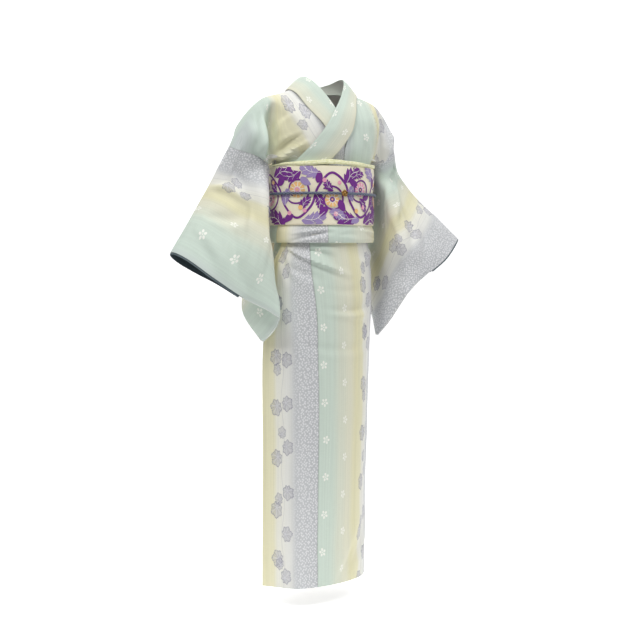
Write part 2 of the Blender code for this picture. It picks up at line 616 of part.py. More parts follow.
def make_skirt(collection):
    seam = 0.8 * SEAM_GAP / SKIRT_ROUND
    for name, colour, first, last, columns in SKIRT_PIECES:
        shares = np.linspace(first + seam, last - seam, columns)
        rows = []
        outs = []
        for z in SKIRT_HEIGHTS:
            line, out = skirt_line(z, shares)
            if z < UNDER_BELT_Z:
                line = line + out * fold_rise(shares, z)[:, None]
            under = np.clip((shares - UNDER_RISE_FROM[0]) / UNDER_RISE_FROM[1], 0, 1)
            down = np.clip((-z - UNDER_RISE_BELOW[0]) / UNDER_RISE_BELOW[1], 0, 1)
            line[:, 2] += UNDER_HEM_RISE * under * under * (3 - 2 * under) * down
            rows.append(line)
            outs.append(out)
        cloth(collection, "skirt_" + name, np.array(rows), colour, np.array(outs))


def make_tuck(collection):
    """The fold of spare length under the belt, in the pieces that it belongs to."""
    half_gap = np.degrees(SEAM_GAP / 2 / OBI_HALF_DEPTH)
    for name, colour, first, last, columns in TUCK_PIECES:
        angles = np.linspace(first + half_gap, last - half_gap, columns)
        grid = np.array([[oval(angle, inset, z) for angle in angles] for inset, z in TUCK_SECTION])
        middle = np.array([oval(angle, *TUCK_MIDDLE) for angle in angles])
        cloth(collection, name, grid, colour, grid - middle, TUCK_CLOTH)


def make_obi(collection):
    angles = np.arange(0, 360, 360 / 56)
    grid = np.array([[oval(angle, -out, z) for angle in angles] for out, z in OBI_SECTION])
    outward = grid * [1, 1, 0]
    cloth(collection, "obi_band", grid, "violet", outward, OBI_CLOTH, wrap=True)


def curved_band(collection, name, section, half_width, columns, rows, colour, wall):
    """A band across the back, with the given section from side to side."""
    section = np.array([(0.0, y, z) for y, z in section])
    line = evenly(section, np.linspace(0, 1, rows))
    across = np.linspace(-half_width, half_width, columns) + AXIS_X
    grid = np.repeat(line[:, None], columns, axis=1)
    grid[:, :, 0] = across
    grid[:, :, 1] -= ((across - AXIS_X) / half_width) ** 2 * BOW_CURVE
    middle = line.mean(axis=0) - [0, 0.02, 0]
    cloth(collection, name, grid, colour, (grid - middle) * [0, 1, 1], wall)


def make_bow(collection):
    curved_band(collection, "obi_drum", DRUM_SECTION, DRUM_HALF_WIDTH, 9, 25, "violet", OBI_CLOTH)
    curved_band(collection, "obi_tail", TAIL_SECTION, TAIL_HALF_WIDTH, 9, 6, "violet", OBI_CLOTH)
    heights = np.linspace(HAND_LOW_Z, HAND_HIGH_Z, 5)
    across = np.linspace(-HAND_HALF_WIDTH, HAND_HALF_WIDTH, 9) + AXIS_X
    grid = np.array([[(x, HAND_Y + HAND_HALF_THICKNESS, z) for x in across] for z in heights])
    cloth(collection, "obi_hand", grid, "violet", np.broadcast_to([0.0, 1.0, 0.0], grid.shape),
          2 * HAND_HALF_THICKNESS)


def cord_route():
    """The belt cord's line: round the band in front, then through the drum, over the hand."""
    out = -(CORD_RADIUS + CORD_CLEAR - CORD_GROOVE)
    front = [oval(angle, out, CORD_Z) for angle in range(-200, 21, 10)]
    across = [(AXIS_X + x, y, CORD_Z) for x, y in CORD_SIDE]
    across += [(AXIS_X - x, y, CORD_Z) for x, y in reversed(CORD_SIDE)]
    return np.array([tuple(point) for point in front] + across)


def make_cords(collection):
    route = cord_route()
    closed = np.concatenate([route, route[:1]])
    run = lengths(closed)
    smooth = through(closed, run, np.linspace(0, run[-1], 79)[:-1])
    tube(collection, "obi_cord", smooth, CORD_RADIUS, "slate", True)
    sash_z = OBI_HIGH_Z + SASH_RADIUS + SASH_CLEAR
    sash = [oval(angle, SASH_INSET, sash_z) for angle in np.linspace(-206, 26, 40)]
    tube(collection, "obi_sash", sash, SASH_RADIUS, "yellow", False)


def make_ornament(collection):
    """A five-petalled blossom on the belt cord at the front."""
    mesh = bmesh.new()
    around = np.radians(np.arange(0, 360, 12))
    petals = np.abs(np.cos(ORNAMENT_PETALS / 2 * around)) ** 0.7
    radii = ORNAMENT_RADIUS * (1 - ORNAMENT_NOTCH * (1 - petals))
    back_y = -(OBI_HALF_DEPTH + 2 * CORD_RADIUS - CORD_GROOVE + 4 * SEAM_GAP)
    rings = []
    for depth, share in ORNAMENT_RINGS:
        y = back_y - depth * ORNAMENT_DEPTH
        rings.append([mesh.verts.new((AXIS_X + r * share * np.sin(a), y, CORD_Z + r * share * np.cos(a)))
                      for a, r in zip(around, radii)])
    for low, high in zip(rings, rings[1:]):
        for i in range(len(around)):
            beside = (i + 1) % len(around)
            mesh.faces.new((low[i], low[beside], high[beside], high[i]))
    mesh.faces.new(rings[0][::-1])
    mesh.faces.new(rings[-1])
    bmesh.ops.recalc_face_normals(mesh, faces=mesh.faces)
    data = bpy.data.meshes.new("cord_ornament")
    mesh.to_mesh(data)
    mesh.free()
    data.materials.append(material("gold"))
    collection.objects.link(bpy.data.objects.new("cord_ornament", data))


def main():
    collection = fresh_scene()
    for side in (-1, 1):
        make_body(collection, side)
        make_sleeve(collection, side)
        make_cuff_lining(collection, side)
    make_overlap_upper(collection)
    make_collar(collection)
    make_skirt(collection)
    make_tuck(collection)
    make_obi(collection)
    make_bow(collection)
    make_cords(collection)
    make_ornament(collection)


main()
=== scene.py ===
# %% [markdown]
# # A tsumugi kimono as worn, with its belt set
#
# A kimono is cut from one long narrow bolt of silk. Every panel is a straight strip of that bolt, so
# the print runs the same way on each of them. Worn, the strips bend round the body, and the belt
# holds them. This lesson makes each strip as a surface of points, presses the listed folds into it,
# gives it the thickness of cloth and then prints it from its own bolt coordinates.

# %% Load the imported model, which sets the size and the place of everything
from itertools import product

import bmesh
import bpy
import numpy as np
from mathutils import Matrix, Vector


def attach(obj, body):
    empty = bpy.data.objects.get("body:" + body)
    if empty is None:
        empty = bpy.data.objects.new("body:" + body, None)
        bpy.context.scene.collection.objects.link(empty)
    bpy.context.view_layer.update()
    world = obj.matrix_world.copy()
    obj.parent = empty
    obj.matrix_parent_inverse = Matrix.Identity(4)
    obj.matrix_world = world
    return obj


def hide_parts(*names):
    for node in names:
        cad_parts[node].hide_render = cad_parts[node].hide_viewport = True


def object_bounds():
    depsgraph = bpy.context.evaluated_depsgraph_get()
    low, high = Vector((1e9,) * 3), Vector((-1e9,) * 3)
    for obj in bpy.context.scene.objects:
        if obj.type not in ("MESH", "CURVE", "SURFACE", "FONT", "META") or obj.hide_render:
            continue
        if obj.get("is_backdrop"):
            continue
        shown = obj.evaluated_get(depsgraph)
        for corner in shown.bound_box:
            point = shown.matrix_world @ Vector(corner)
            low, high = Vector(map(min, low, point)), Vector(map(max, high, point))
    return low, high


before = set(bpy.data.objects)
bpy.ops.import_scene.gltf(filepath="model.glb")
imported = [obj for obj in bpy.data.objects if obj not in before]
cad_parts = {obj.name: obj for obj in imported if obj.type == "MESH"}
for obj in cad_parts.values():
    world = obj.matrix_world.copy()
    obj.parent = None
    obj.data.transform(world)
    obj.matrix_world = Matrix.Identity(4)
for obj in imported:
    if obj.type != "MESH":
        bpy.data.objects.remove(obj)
cad_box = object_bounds()
print("nodes:", len(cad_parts), "box:", [[round(float(v), 3) for v in corner] for corner in cad_box])

# %% [markdown]
# ## The named sizes
#
# All lengths are in metres. The origin lies between the two side-neck points, +Z is up and the
# wearer would face -Y. The tables say where the cloth passes, and smooth curves are read through
# them, so a change of one number moves a whole stretch of cloth without leaving a kink.

# %% Cloth thicknesses, belt and heights
CLOTH = 0.0015
COLLAR_CLOTH = 0.0018
LINING_CLOTH = 0.0010
OBI_CLOTH = 0.0040
LAP_GAP = 0.0045
UNDER_FRONT_INSET = 0.0055
HEM_Z = -1.291
UNDER_HEM_RISE = 0.014
SKIRT_TOP_Z = -0.378
UNDER_BELT_Z = -0.433
BODICE_END_Z = -0.368
OBI_LOW_Z = -0.386
OBI_HIGH_Z = -0.237
AXIS_X = 0.004
OBI_HALF_WIDTH = 0.143
OBI_HALF_DEPTH = 0.119

# %% The chest's form and the collar's way round the neck
# Columns: height, half width, half depth.
CHEST = [
    (-0.400, 0.1340, 0.1100),
    (-0.237, 0.1340, 0.1100),
    (-0.220, 0.1345, 0.1105),
    (-0.190, 0.1530, 0.1160),
    (-0.150, 0.1650, 0.1170),
    (-0.105, 0.1650, 0.1090),
    (-0.070, 0.1600, 0.0930),
    (-0.040, 0.1500, 0.0700),
]
# Columns: inner edge by the neck, outer edge, inset. A depth of None lies on the chest's form.
COLLAR = [
    ((-0.119, None, -0.300), (-0.052, None, -0.300), 0.0),
    ((-0.105, None, -0.232), (-0.028, None, -0.232), 0.0),
    ((-0.076, None, -0.188), (0.003, None, -0.192), 0.0),
    ((-0.041, None, -0.141), (0.034, None, -0.148), 0.0),
    ((-0.008, None, -0.091), (0.050, None, -0.105), 0.0),
    ((0.024, -0.078, -0.048), (0.067, -0.0760, -0.070), 0.0),
    ((0.048, -0.043, -0.012), (0.087, -0.0400, -0.044), 0.0),
    ((0.059, 0.000, 0.000), (0.096, 0.0060, -0.036), 0.0),
    ((0.047, 0.052, -0.008), (0.070, 0.0640, -0.052), 0.0),
    ((0.000, 0.082, -0.018), (0.000, 0.0960, -0.068), 0.0),
    ((-0.047, 0.052, -0.008), (-0.070, 0.0640, -0.052), 0.0),
    ((-0.053, 0.000, 0.000), (-0.094, 0.0060, -0.036), 0.0),
    ((-0.046, -0.043, -0.014), (-0.090, -0.0420, -0.050), 0.0),
    ((-0.026, -0.076, -0.050), (-0.072, -0.0720, -0.088), 0.0),
    ((0.000, None, -0.096), (-0.043, None, -0.132), 0.0080),
    ((0.032, None, -0.143), (-0.015, None, -0.178), 0.0095),
    ((0.075, None, -0.212), (0.026, None, -0.240), 0.0100),
    ((0.088, None, -0.262), (0.040, None, -0.285), 0.0100),
]
COLLAR_BULGE = 0.0020
COLLAR_OVERLAP = 0.003
COLLAR_LIFT = 0.0050
OVERLAP_SEAM_X = 0.015
# Columns: height, place on the collar's outer edge.
OVERLAP_UPPER = [(-0.171, 2.45), (-0.192, 2.0), (-0.232, 1.0), (-0.300, 0.0), (BODICE_END_Z, 0.0)]
OVERLAP_UPPER_INSET = 0.0062

# %% The body's sections, from the front over the shoulder to the back
# Columns: name, place on the collar, chest, side, valley pressed in by the arm, ridge, place on the
# sleeve's depth at the armhole (minus behind, None for a free edge).
BODY = [
    ("front rib", 2.20, (-0.070, None, -0.192), (-0.116, None, -0.196), (-0.150, -0.0340, -0.208),
     (-0.168, -0.0400, -0.216), 0.250),
    ("front bust", 3.25, (-0.088, None, -0.150), (-0.133, None, -0.153), (-0.163, -0.0300, -0.163),
     (-0.186, -0.0560, -0.182), 0.190),
    ("front chest", 4.20, (-0.104, None, -0.108), (-0.143, None, -0.109), (-0.170, -0.0280, -0.118),
     (-0.200, -0.0440, -0.148), 0.120),
    ("front top", 5.20, (-0.118, -0.0420, -0.064), (-0.151, -0.0350, -0.076), (-0.180, -0.0220, -0.097),
     (-0.211, -0.0140, -0.137), 0.055),
    ("shoulder", 6.00, (-0.124, 0.0060, -0.050), (-0.154, 0.0060, -0.059), (-0.183, 0.0080, -0.081),
     (-0.215, 0.0170, -0.126), 0.0),
    ("back top", 7.00, (-0.108, 0.0620, -0.070), (-0.148, 0.0540, -0.086), (-0.186, 0.0530, -0.112),
     (-0.220, 0.0540, -0.150), -0.055),
    ("back blade", 8.00, (-0.064, 0.0960, -0.104), (-0.112, 0.0940, -0.124), (-0.156, 0.0880, -0.150),
     (-0.192, 0.0840, -0.184), -0.140),
    ("back rib", 8.00, (-0.052, 0.1060, -0.162), (-0.098, 0.0970, -0.176), (-0.134, 0.0780, -0.196),
     (-0.158, 0.0660, -0.214), None),
]
BACK_RIB_EDGE = (-0.160, 0.0420, -0.2120)
FRONT_BELT_ANGLES = (-116, -137, -156, -167, -178)
BACK_BELT_ANGLES = (112, 134, 153, 165, 176)
BELT_ROWS = [(-0.219, -84), (-0.262, -76), (BODICE_END_Z, -73)]
LEFT_BELT_INSETS = (0.0132, 0.0110, 0.0100, 0.0100, 0.0100, 0.0100)
RIGHT_BELT_INSETS = (0.0240, 0.0190, 0.0150, 0.0115, 0.0105, 0.0100)
BACK_BELT_INSET = 0.0095

# %% The sleeves' sections, from the fold along the arm to the bottom edge
# Columns: depth share, armhole and open inner edge, inner bend, front bend beside the body, cuff edge.
SLEEVE_RIGHT = [
    (0.00, (-0.242, 0.030, -0.185), (-0.262, 0.052, -0.235), (-0.292, 0.066, -0.300),
     (-0.408, 0.000, -0.455)),
    (0.12, (-0.205, 0.020, -0.199), (-0.219, 0.033, -0.262), (-0.257, 0.028, -0.332),
     (-0.371, -0.030, -0.481)),
    (0.21, (-0.169, 0.006, -0.224), (-0.196, 0.002, -0.275), (-0.224, -0.016, -0.355),
     (-0.345, -0.052, -0.501)),
    (0.30, (-0.157, 0.006, -0.255), (-0.185, -0.045, -0.300), (-0.206, -0.064, -0.385),
     (-0.319, -0.071, -0.520)),
    (0.50, (-0.179, 0.055, -0.335), (-0.183, -0.030, -0.385), (-0.188, -0.094, -0.450),
     (-0.253, -0.103, -0.567)),
    (0.70, (-0.185, 0.100, -0.410), (-0.178, 0.010, -0.475), (-0.169, -0.092, -0.556),
     (-0.172, -0.124, -0.613)),
    (0.85, (-0.182, 0.150, -0.455), (-0.188, 0.060, -0.515), (-0.192, -0.010, -0.585),
     (-0.172, -0.082, -0.650)),
    (1.00, (-0.178, 0.190, -0.500), (-0.172, 0.105, -0.565), (-0.195, 0.052, -0.610),
     (-0.172, -0.020, -0.682)),
]
SLEEVE_LEFT = [
    (0.00, (0.229, 0.026, -0.172), (0.257, 0.050, -0.226), (0.296, 0.066, -0.280), (0.431, 0.000, -0.419)),
    (0.12, (0.196, 0.018, -0.188), (0.216, 0.033, -0.252), (0.262, 0.028, -0.312), (0.394, -0.030, -0.443)),
    (0.21, (0.176, 0.012, -0.210), (0.194, 0.002, -0.264), (0.228, -0.016, -0.337), (0.366, -0.052, -0.460)),
    (0.30, (0.168, 0.018, -0.246), (0.180, -0.045, -0.290), (0.198, -0.064, -0.365), (0.338, -0.071, -0.476)),
    (0.50, (0.179, 0.055, -0.327), (0.180, -0.030, -0.372), (0.186, -0.094, -0.426), (0.267, -0.101, -0.513)),
    (0.70, (0.185, 0.100, -0.402), (0.184, 0.010, -0.462), (0.189, -0.068, -0.520), (0.196, -0.118, -0.562)),
    (0.85, (0.178, 0.150, -0.450), (0.182, 0.060, -0.510), (0.183, -0.008, -0.575), (0.168, -0.080, -0.630)),
    (1.00, (0.172, 0.190, -0.500), (0.168, 0.105, -0.565), (0.180, 0.052, -0.612), (0.162, -0.016, -0.682)),
]
# Half the distance between a sleeve's two layers. Columns: depth share, at the armhole, at the cuff.
SLEEVE_GAP = [
    (0.000, 0.0000, 0.0000),
    (0.010, 0.0140, 0.0130),
    (0.035, 0.0270, 0.0230),
    (0.080, 0.0370, 0.0290),
    (0.150, 0.0350, 0.0290),
    (0.210, 0.0250, 0.0250),
    (0.300, 0.0140, 0.0180),
    (0.400, 0.0090, 0.0120),
    (0.550, 0.0060, 0.0065),
    (0.985, 0.0048, 0.0048),
    (1.000, 0.0000, 0.0000),
]
SLEEVE_WIDTH = 0.33
SLEEVE_DROP = 0.49
CUFF_OPENING = 0.47
LINING_START = 0.75

# %% The skirt's sections in plan, from the over front's free edge round the body
# Columns: height, free edge, overlap middle, overlap seam, front middle, front corner, left side, back
# corner, back middle, right back corner, right side.
SKIRT = [
    (-0.485, (-0.148, -0.024), (-0.098, -0.084), (-0.044, -0.106), (0.034, -0.110), (0.096, -0.085),
     (0.1430, 0.000), (0.104, 0.082), (0.004, 0.114), (-0.096, 0.080), (-0.1340, 0.004)),
    (-0.670, (-0.169, -0.018), (-0.108, -0.086), (-0.052, -0.104), (0.034, -0.108), (0.098, -0.080),
     (0.1400, 0.000), (0.100, 0.080), (0.004, 0.110), (-0.096, 0.076), (-0.1330, 0.008)),
    (-0.950, (-0.171, -0.018), (-0.108, -0.084), (-0.054, -0.099), (0.030, -0.101), (0.094, -0.072),
     (0.1330, 0.002), (0.094, 0.074), (0.004, 0.101), (-0.090, 0.070), (-0.1270, 0.010)),
    (HEM_Z, (-0.173, -0.020), (-0.106, -0.082), (-0.055, -0.094), (0.024, -0.091), (0.088, -0.068),
     (0.1260, 0.004), (0.088, 0.068), (0.004, 0.092), (-0.084, 0.066), (-0.1210, 0.012)),
]
SKIRT_ROUND = 0.86
OVERLAP_SHARE = 0.165
FRONT_SHARE = 0.44
SKIRT_PLACES = (0.0, 0.10, OVERLAP_SHARE, 0.26, 0.34, FRONT_SHARE, 0.55, 0.66, 0.77, 0.88)
SKIRT_BELT_ANGLES = (-166, -132, -108, -77, -48, 0, 45, 90, 135, 178)
SKIRT_BELT_INSETS = (0.0115,) * 8 + (0.0135, 0.0165)
# Columns: share of the way round, outer share that the right front follows underneath.
SKIRT_LAP = [(1.03, 0.075), (1.10, 0.115), (1.17, 0.170), (1.27, 0.265), (1.35, 0.345), (1.40, 0.400)]

# %% The folded tuck, the belt, its drum bow and its cord
# Columns: inset from the belt's face, height.
TUCK_SECTION = [
    (0.0049, -0.374), (0.0048, -0.387), (0.0015, -0.396), (-0.0005, -0.412), (0.0005, -0.426),
    (0.0030, -0.4305), (0.0060, -0.4265), (0.0066, -0.408), (0.0074, -0.392),
]
CORD_Z = -0.3065
CORD_GROOVE = 0.0015
# Columns: how far the face stands out, height.
OBI_SECTION = [(0.0, OBI_LOW_Z), (0.0, -0.372), (0.0, -0.335), (-CORD_GROOVE, CORD_Z), (0.0005, -0.278),
               (0.001, -0.252), (0.0, OBI_HIGH_Z)]
BOW_CURVE = 0.006
DRUM_HALF_WIDTH = 0.150
# Columns: y, z of the outer face.
DRUM_SECTION = [
    (0.1208, -0.268), (0.1212, -0.246), (0.1500, -0.207), (0.1840, -0.203), (0.2120, -0.226),
    (0.2240, -0.268), (0.2270, -0.330), (0.2240, -0.400), (0.2130, -0.450), (0.1930, -0.470),
    (0.1700, -0.464), (0.1560, -0.440),
]
TAIL_HALF_WIDTH = 0.147
TAIL_SECTION = [(0.1553, -0.415), (0.1554, -0.442), (0.1575, -0.485), (0.1620, -0.530)]
HAND_HALF_WIDTH = 0.168
HAND_LOW_Z = -0.420
HAND_HIGH_Z = -0.276
HAND_Y = 0.186
HAND_HALF_THICKNESS = 0.0040
CORD_RADIUS = 0.0034
BRAID_PITCH = 0.0105
CORD_CLEAR = 0.0012
# Columns: x from the middle, y.
CORD_SIDE = [(0.1510, 0.080), (0.1590, 0.115), (0.1690, 0.150), (0.1765, 0.179), (0.1765, 0.1915),
             (0.168, 0.1960), (0.150, 0.1943), (0.110, 0.1938), (0.060, 0.1938), (0.020, 0.1938)]
SASH_RADIUS = 0.0048
SASH_CLOTH = 0.0008
SASH_INSET = 0.0014
SASH_CLEAR = 0.0008
ORNAMENT_RADIUS = 0.009
print("tables:", len(BODY), "body rows,", len(SLEEVE_RIGHT), "sleeve rows,", len(SKIRT), "skirt rows")

# %% [markdown]
# ## Reading smooth cloth from a few points
#
# Cloth under its own weight takes smooth curves. A cubic curve whose slope at each key point is the
# weighted mean of its neighbours' slopes passes through the points without swinging past them.

# %% Curves
def through(keys, places, at):
    """A smooth curve through the key points, which stand at rising places, read at the places in at."""
    keys = np.asarray(keys, float).reshape(len(keys), -1)
    places = np.asarray(places, float)
    slopes = np.diff(keys, axis=0) / np.diff(places)[:, None]
    tangents = np.empty_like(keys)
    tangents[0] = slopes[0]
    tangents[-1] = slopes[-1]
    before = np.diff(places)[:-1, None]
    after = np.diff(places)[1:, None]
    tangents[1:-1] = (slopes[:-1] * after + slopes[1:] * before) / (before + after)
    at = np.clip(np.atleast_1d(np.asarray(at, float)), places[0], places[-1])
    span = np.clip(np.searchsorted(places, at, side="right") - 1, 0, len(places) - 2)
    step = (places[span + 1] - places[span])[:, None]
    t = (at - places[span])[:, None] / step
    return (
        keys[span] * (2 * t**3 - 3 * t**2 + 1)
        + keys[span + 1] * (3 * t**2 - 2 * t**3)
        + tangents[span] * step * (t**3 - 2 * t**2 + t)
        + tangents[span + 1] * step * (t**3 - t**2)
    )


def lengths(points):
    """How far along its line each point lies."""
    return np.concatenate([[0.0], np.cumsum(np.linalg.norm(np.diff(points, axis=0), axis=1))])


def evenly(points, shares):
    """The smooth line through the points, read at shares of its length."""
    keys = np.asarray(points, float)
    fine = through(keys, lengths(keys), np.linspace(0, lengths(keys)[-1], 161))
    run = lengths(fine)
    return np.column_stack([np.interp(np.asarray(shares) * run[-1], run, fine[:, i]) for i in range(3)])


def unit(vectors):
    return vectors / np.maximum(np.linalg.norm(vectors, axis=-1, keepdims=True), 1e-12)


def ease(values, low, high):
    """0 below low, 1 above high and a soft step between."""
    t = np.clip((np.asarray(values, float) - low) / (high - low), 0, 1)
    return t * t * (3 - 2 * t)


# %% Points on the chest's form, on the belt's oval and on the collar
def chest_point(x, z, inset):
    """A point of the chest's form at this x and height, moved in by the inset."""
    half_width, half_depth = through([row[1:] for row in CHEST], [row[0] for row in CHEST], z)[0] - inset
    share = min(abs(x - AXIS_X) / half_width, 0.995)
    return np.array([x, -half_depth * np.sqrt(1 - share**2), z])


def placed(key, inset):
    """A key point, with a depth of None taken from the chest's form."""
    x, y, z = key
    return chest_point(x, z, inset) if y is None else np.array(key, float)


def oval(degrees, inset, z):
    """A point of the waist's oval, moved in from the belt's face. 0 is the wearer's left, -90 the front."""
    angle = np.radians(degrees)
    return np.array([
        AXIS_X + (OBI_HALF_WIDTH - inset) * np.cos(angle),
        (OBI_HALF_DEPTH - inset) * np.sin(angle),
        z,
    ])


def collar_at(places, across=(0.0, 1.0)):
    """The collar's points at station numbers, across its width, and its outward direction there."""
    stations = np.arange(len(COLLAR))
    places = np.atleast_1d(np.asarray(places, float))
    lines = []
    for share in across:
        keys = []
        for inner, outer, inset in COLLAR:
            (x0, y0, z0), (x1, y1, z1) = inner, outer
            depth = None if y0 is None else y0 + (y1 - y0) * share
            keys.append(placed((x0 + (x1 - x0) * share, depth, z0 + (z1 - z0) * share), inset))
        lines.append([through(keys, stations, places + step) for step in (-0.05, 0, 0.05)])
    lines = np.array(lines)
    along = (lines[:, 2] - lines[:, 0]).sum(axis=0)
    out = unit(np.cross(lines[-1, 1] - lines[0, 1], along))
    return lines[:, 1].transpose(1, 0, 2), out


def body_edge(place):
    """Where a body panel begins: under the collar's outer edge, a little way in."""
    line, out = collar_at(place)
    inner, outer = line[0]
    return outer - unit(outer - inner) * COLLAR_OVERLAP - out[0] * COLLAR_LIFT


# %% [markdown]
# ## Turning a surface into cloth
#
# Each strip starts as a grid of points. Three things are added to it: folds, pressed in
# from tables of where each fold starts, bends and ends; a note at every point of where it lies on
# the bolt, which the print reads later; and the wall of the cloth. The wall could be left out, since
# silk is thin, but a real edge catches light, and every neckline and cuff here shows one.

# %% Folds placed from tables
def fold_height(across, along, folds):
    """How far the listed folds move each point out. A fold is a path of (across, along) points in metres,
    its half width and its height, which is below zero for a trough. It fades out at both ends."""
    across, along = np.broadcast_arrays(across, along)
    height = np.zeros(across.shape)
    for path, half_width, rise in folds:
        keys = np.array(path, float)
        line = through(keys, lengths(keys), np.linspace(0, lengths(keys)[-1], 13))
        best = np.full(across.shape, 1e9)
        signed = np.zeros(across.shape)
        share = np.zeros(across.shape)
        run = lengths(line) / lengths(line)[-1]
        for i in range(len(line) - 1):
            dx, dy = line[i + 1] - line[i]
            px = across - line[i][0]
            py = along - line[i][1]
            t = np.clip((px * dx + py * dy) / (dx * dx + dy * dy), 0, 1)
            off = np.hypot(px - t * dx, py - t * dy)
            side = np.sign(px * dy - py * dx)
            closer = off < best
            best = np.where(closer, off, best)
            signed = np.where(closer, off * side, signed)
            share = np.where(closer, run[i] + t * (run[i + 1] - run[i]), share)
        wide = half_width * (0.65 + 0.7 * share)
        x = signed / wide
        fade = np.sin(np.pi * (0.06 + 0.88 * share)) ** 0.8
        height += rise * fade * (np.exp(-x * x) - 0.42 * np.exp(-(((x - 1.7) / 0.95) ** 2)))
    return height


def soft_waves(across, along, seed, height, length=0.11):
    """The small unevenness of hanging silk: a few broad waves that never repeat in step."""
    rng = np.random.default_rng(seed)
    across, along = np.broadcast_arrays(across, along)
    total = np.zeros(across.shape)
    for _ in range(7):
        angle = rng.uniform(0, np.pi)
        scale = 2 * np.pi / (length * rng.uniform(0.6, 1.8))
        phase = rng.uniform(0, 2 * np.pi)
        total += np.sin((across * np.cos(angle) + along * np.sin(angle)) * scale + phase)
    return total * height / 4


def facing_out(points, outward):
    """The grid's normals, turned to the outward side."""
    normals = unit(np.cross(np.gradient(points, axis=0), np.gradient(points, axis=1)))
    return normals * (1.0 if (normals * outward).sum() > 0 else -1.0)


# %% The cloth piece itself
SHARP_ANGLE = np.radians(55)


def in_scene(name, data):
    """A new object in the scene, for this mesh, light or lens."""
    obj = bpy.data.objects.new(name, data)
    bpy.context.scene.collection.objects.link(obj)
    return obj


def note_bolt(mesh, places):
    """Stores each point's place on the bolt, which the finishes read."""
    noted = mesh.attributes.new("bolt", "FLOAT_VECTOR", "POINT")
    noted.data.foreach_set("vector", np.ravel(places).astype(np.float32))


def grid_faces(rows, columns):
    """The four corners of every face of a grid of points."""
    index = np.arange(rows * columns).reshape(rows, columns)
    quads = np.stack([index[:-1, :-1], index[:-1, 1:], index[1:, 1:], index[1:, :-1]], axis=-1)
    return quads.reshape(-1, 4)


def ring_faces(rings, around):
    """The faces between rings of points that lie one inside the other."""
    faces = []
    for ring in range(rings - 1):
        for i in range(around):
            beside = (i + 1) % around
            faces.append((ring * around + i, (ring + 1) * around + i, (ring + 1) * around + beside,
                          ring * around + beside))
    return faces


def cloth(name, points, outward, bolt, wall, finish, inside, nodes, slot):
    """A sheet of cloth on the grid of points. bolt holds each point's place across and along the bolt,
    and its distance from a seam. The wall goes in from the points, with the inside's own finish."""
    if (facing_out(points, outward) * np.cross(np.gradient(points, axis=0),
                                               np.gradient(points, axis=1))).sum() < 0:
        order = (0, 1, 2, 3)
    else:
        order = (3, 2, 1, 0)
    faces = grid_faces(*points.shape[:2])[:, list(order)]
    mesh = bpy.data.meshes.new(name)
    mesh.from_pydata(points.reshape(-1, 3).tolist(), [], faces.tolist())
    note_bolt(mesh, bolt)
    for material in (finish, inside):
        mesh.materials.append(material)
    obj = in_scene(name + "_cloth", mesh)
    solid = obj.modifiers.new("wall", "SOLIDIFY")
    solid.thickness = wall
    solid.offset = -1.0
    solid.material_offset = 1
    solid.material_offset_rim = 0
    keep_modifiers(obj)
    obj.data.shade_smooth()
    obj.data.set_sharp_from_angle(angle=SHARP_ANGLE)
    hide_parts(*nodes)
    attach(obj, "root")
    area = sum(face.area for face in obj.data.polygons) / 2
    print(f"{name}: {len(obj.data.polygons)} faces, {area:.3f} m2 of cloth")
    return obj


def keep_modifiers(obj):
    """Turns the modifiers' result into the piece's own mesh."""
    graph = bpy.context.evaluated_depsgraph_get()
    made = bpy.data.meshes.new_from_object(obj.evaluated_get(graph))
    obj.modifiers.clear()
    obj.data = made


def bolt_place(across, along, seam=1.0):
    """Puts the bolt coordinates of a grid together. Without a seam nothing is nearer to one than a metre."""
    return np.stack(np.broadcast_arrays(across, along, seam), axis=-1)


# %% [markdown]
# ## Finishes as node groups
#
# The print belongs to the bolt, not to the garment, so it is worked out from the bolt coordinates
# that every point carries. Each motif is a small node group with named sockets that puts out a mask.
# Painting an image would be quicker, but a formula stays sharp at any distance and needs no file.

# %% Small helpers for nodes
def colour(text):
    """A colour as linear values, from the usual six hexadecimal digits."""
    values = [int(text[i:i + 2], 16) / 255 for i in (1, 3, 5)]
    return (*[v / 12.92 if v <= 0.04045 else ((v + 0.055) / 1.055) ** 2.4 for v in values], 1.0)


class Output:
    """A node's output. The usual signs between it and a number or another output add a Math node."""

    def __init__(self, socket):
        self.socket = socket
        self.tree = socket.id_data

    def __add__(self, other):
        return calc("ADD", self, other)

    def __sub__(self, other):
        return calc("SUBTRACT", self, other)

    def __mul__(self, other):
        return calc("MULTIPLY", self, other)

    def __truediv__(self, other):
        return calc("DIVIDE", self, other)


def wire(value, socket):
    """Joins an output to a socket, or sets the socket to a plain value."""
    if isinstance(value, Output):
        value.tree.links.new(value.socket, socket)
    else:
        socket.default_value = value


def new_node(kind, *values):
    """A node in the tree that the values' outputs belong to."""
    tree = next(value.tree for value in values if isinstance(value, Output))
    return tree.nodes.new("ShaderNode" + kind)


def calc(operation, *values):
    made = new_node("Math", *values)
    made.operation = operation
    for value, socket in zip(values, made.inputs):
        wire(value, socket)
    return Output(made.outputs[0])


def between(value, low, high, to_low=0.0, to_high=1.0):
    """A soft step of the value from low to high."""
    made = new_node("MapRange", value)
    made.interpolation_type = "SMOOTHSTEP"
    for socket, number in zip(made.inputs[:5], (value, low, high, to_low, to_high)):
        wire(number, socket)
    return Output(made.outputs[0])


def blend(share, first, second, how="MIX"):
    made = new_node("Mix", share, first, second)
    made.data_type = "RGBA"
    made.blend_type = how
    made.clamp_factor = True
    wire(share, made.inputs["Factor"])
    wire(first, made.inputs[6])
    wire(second, made.inputs[7])
    return Output(made.outputs[2])


def vector(x, y, z=0.0):
    made = new_node("CombineXYZ", x, y)
    for value, socket in zip((x, y, z), made.inputs):
        wire(value, socket)
    return Output(made.outputs[0])


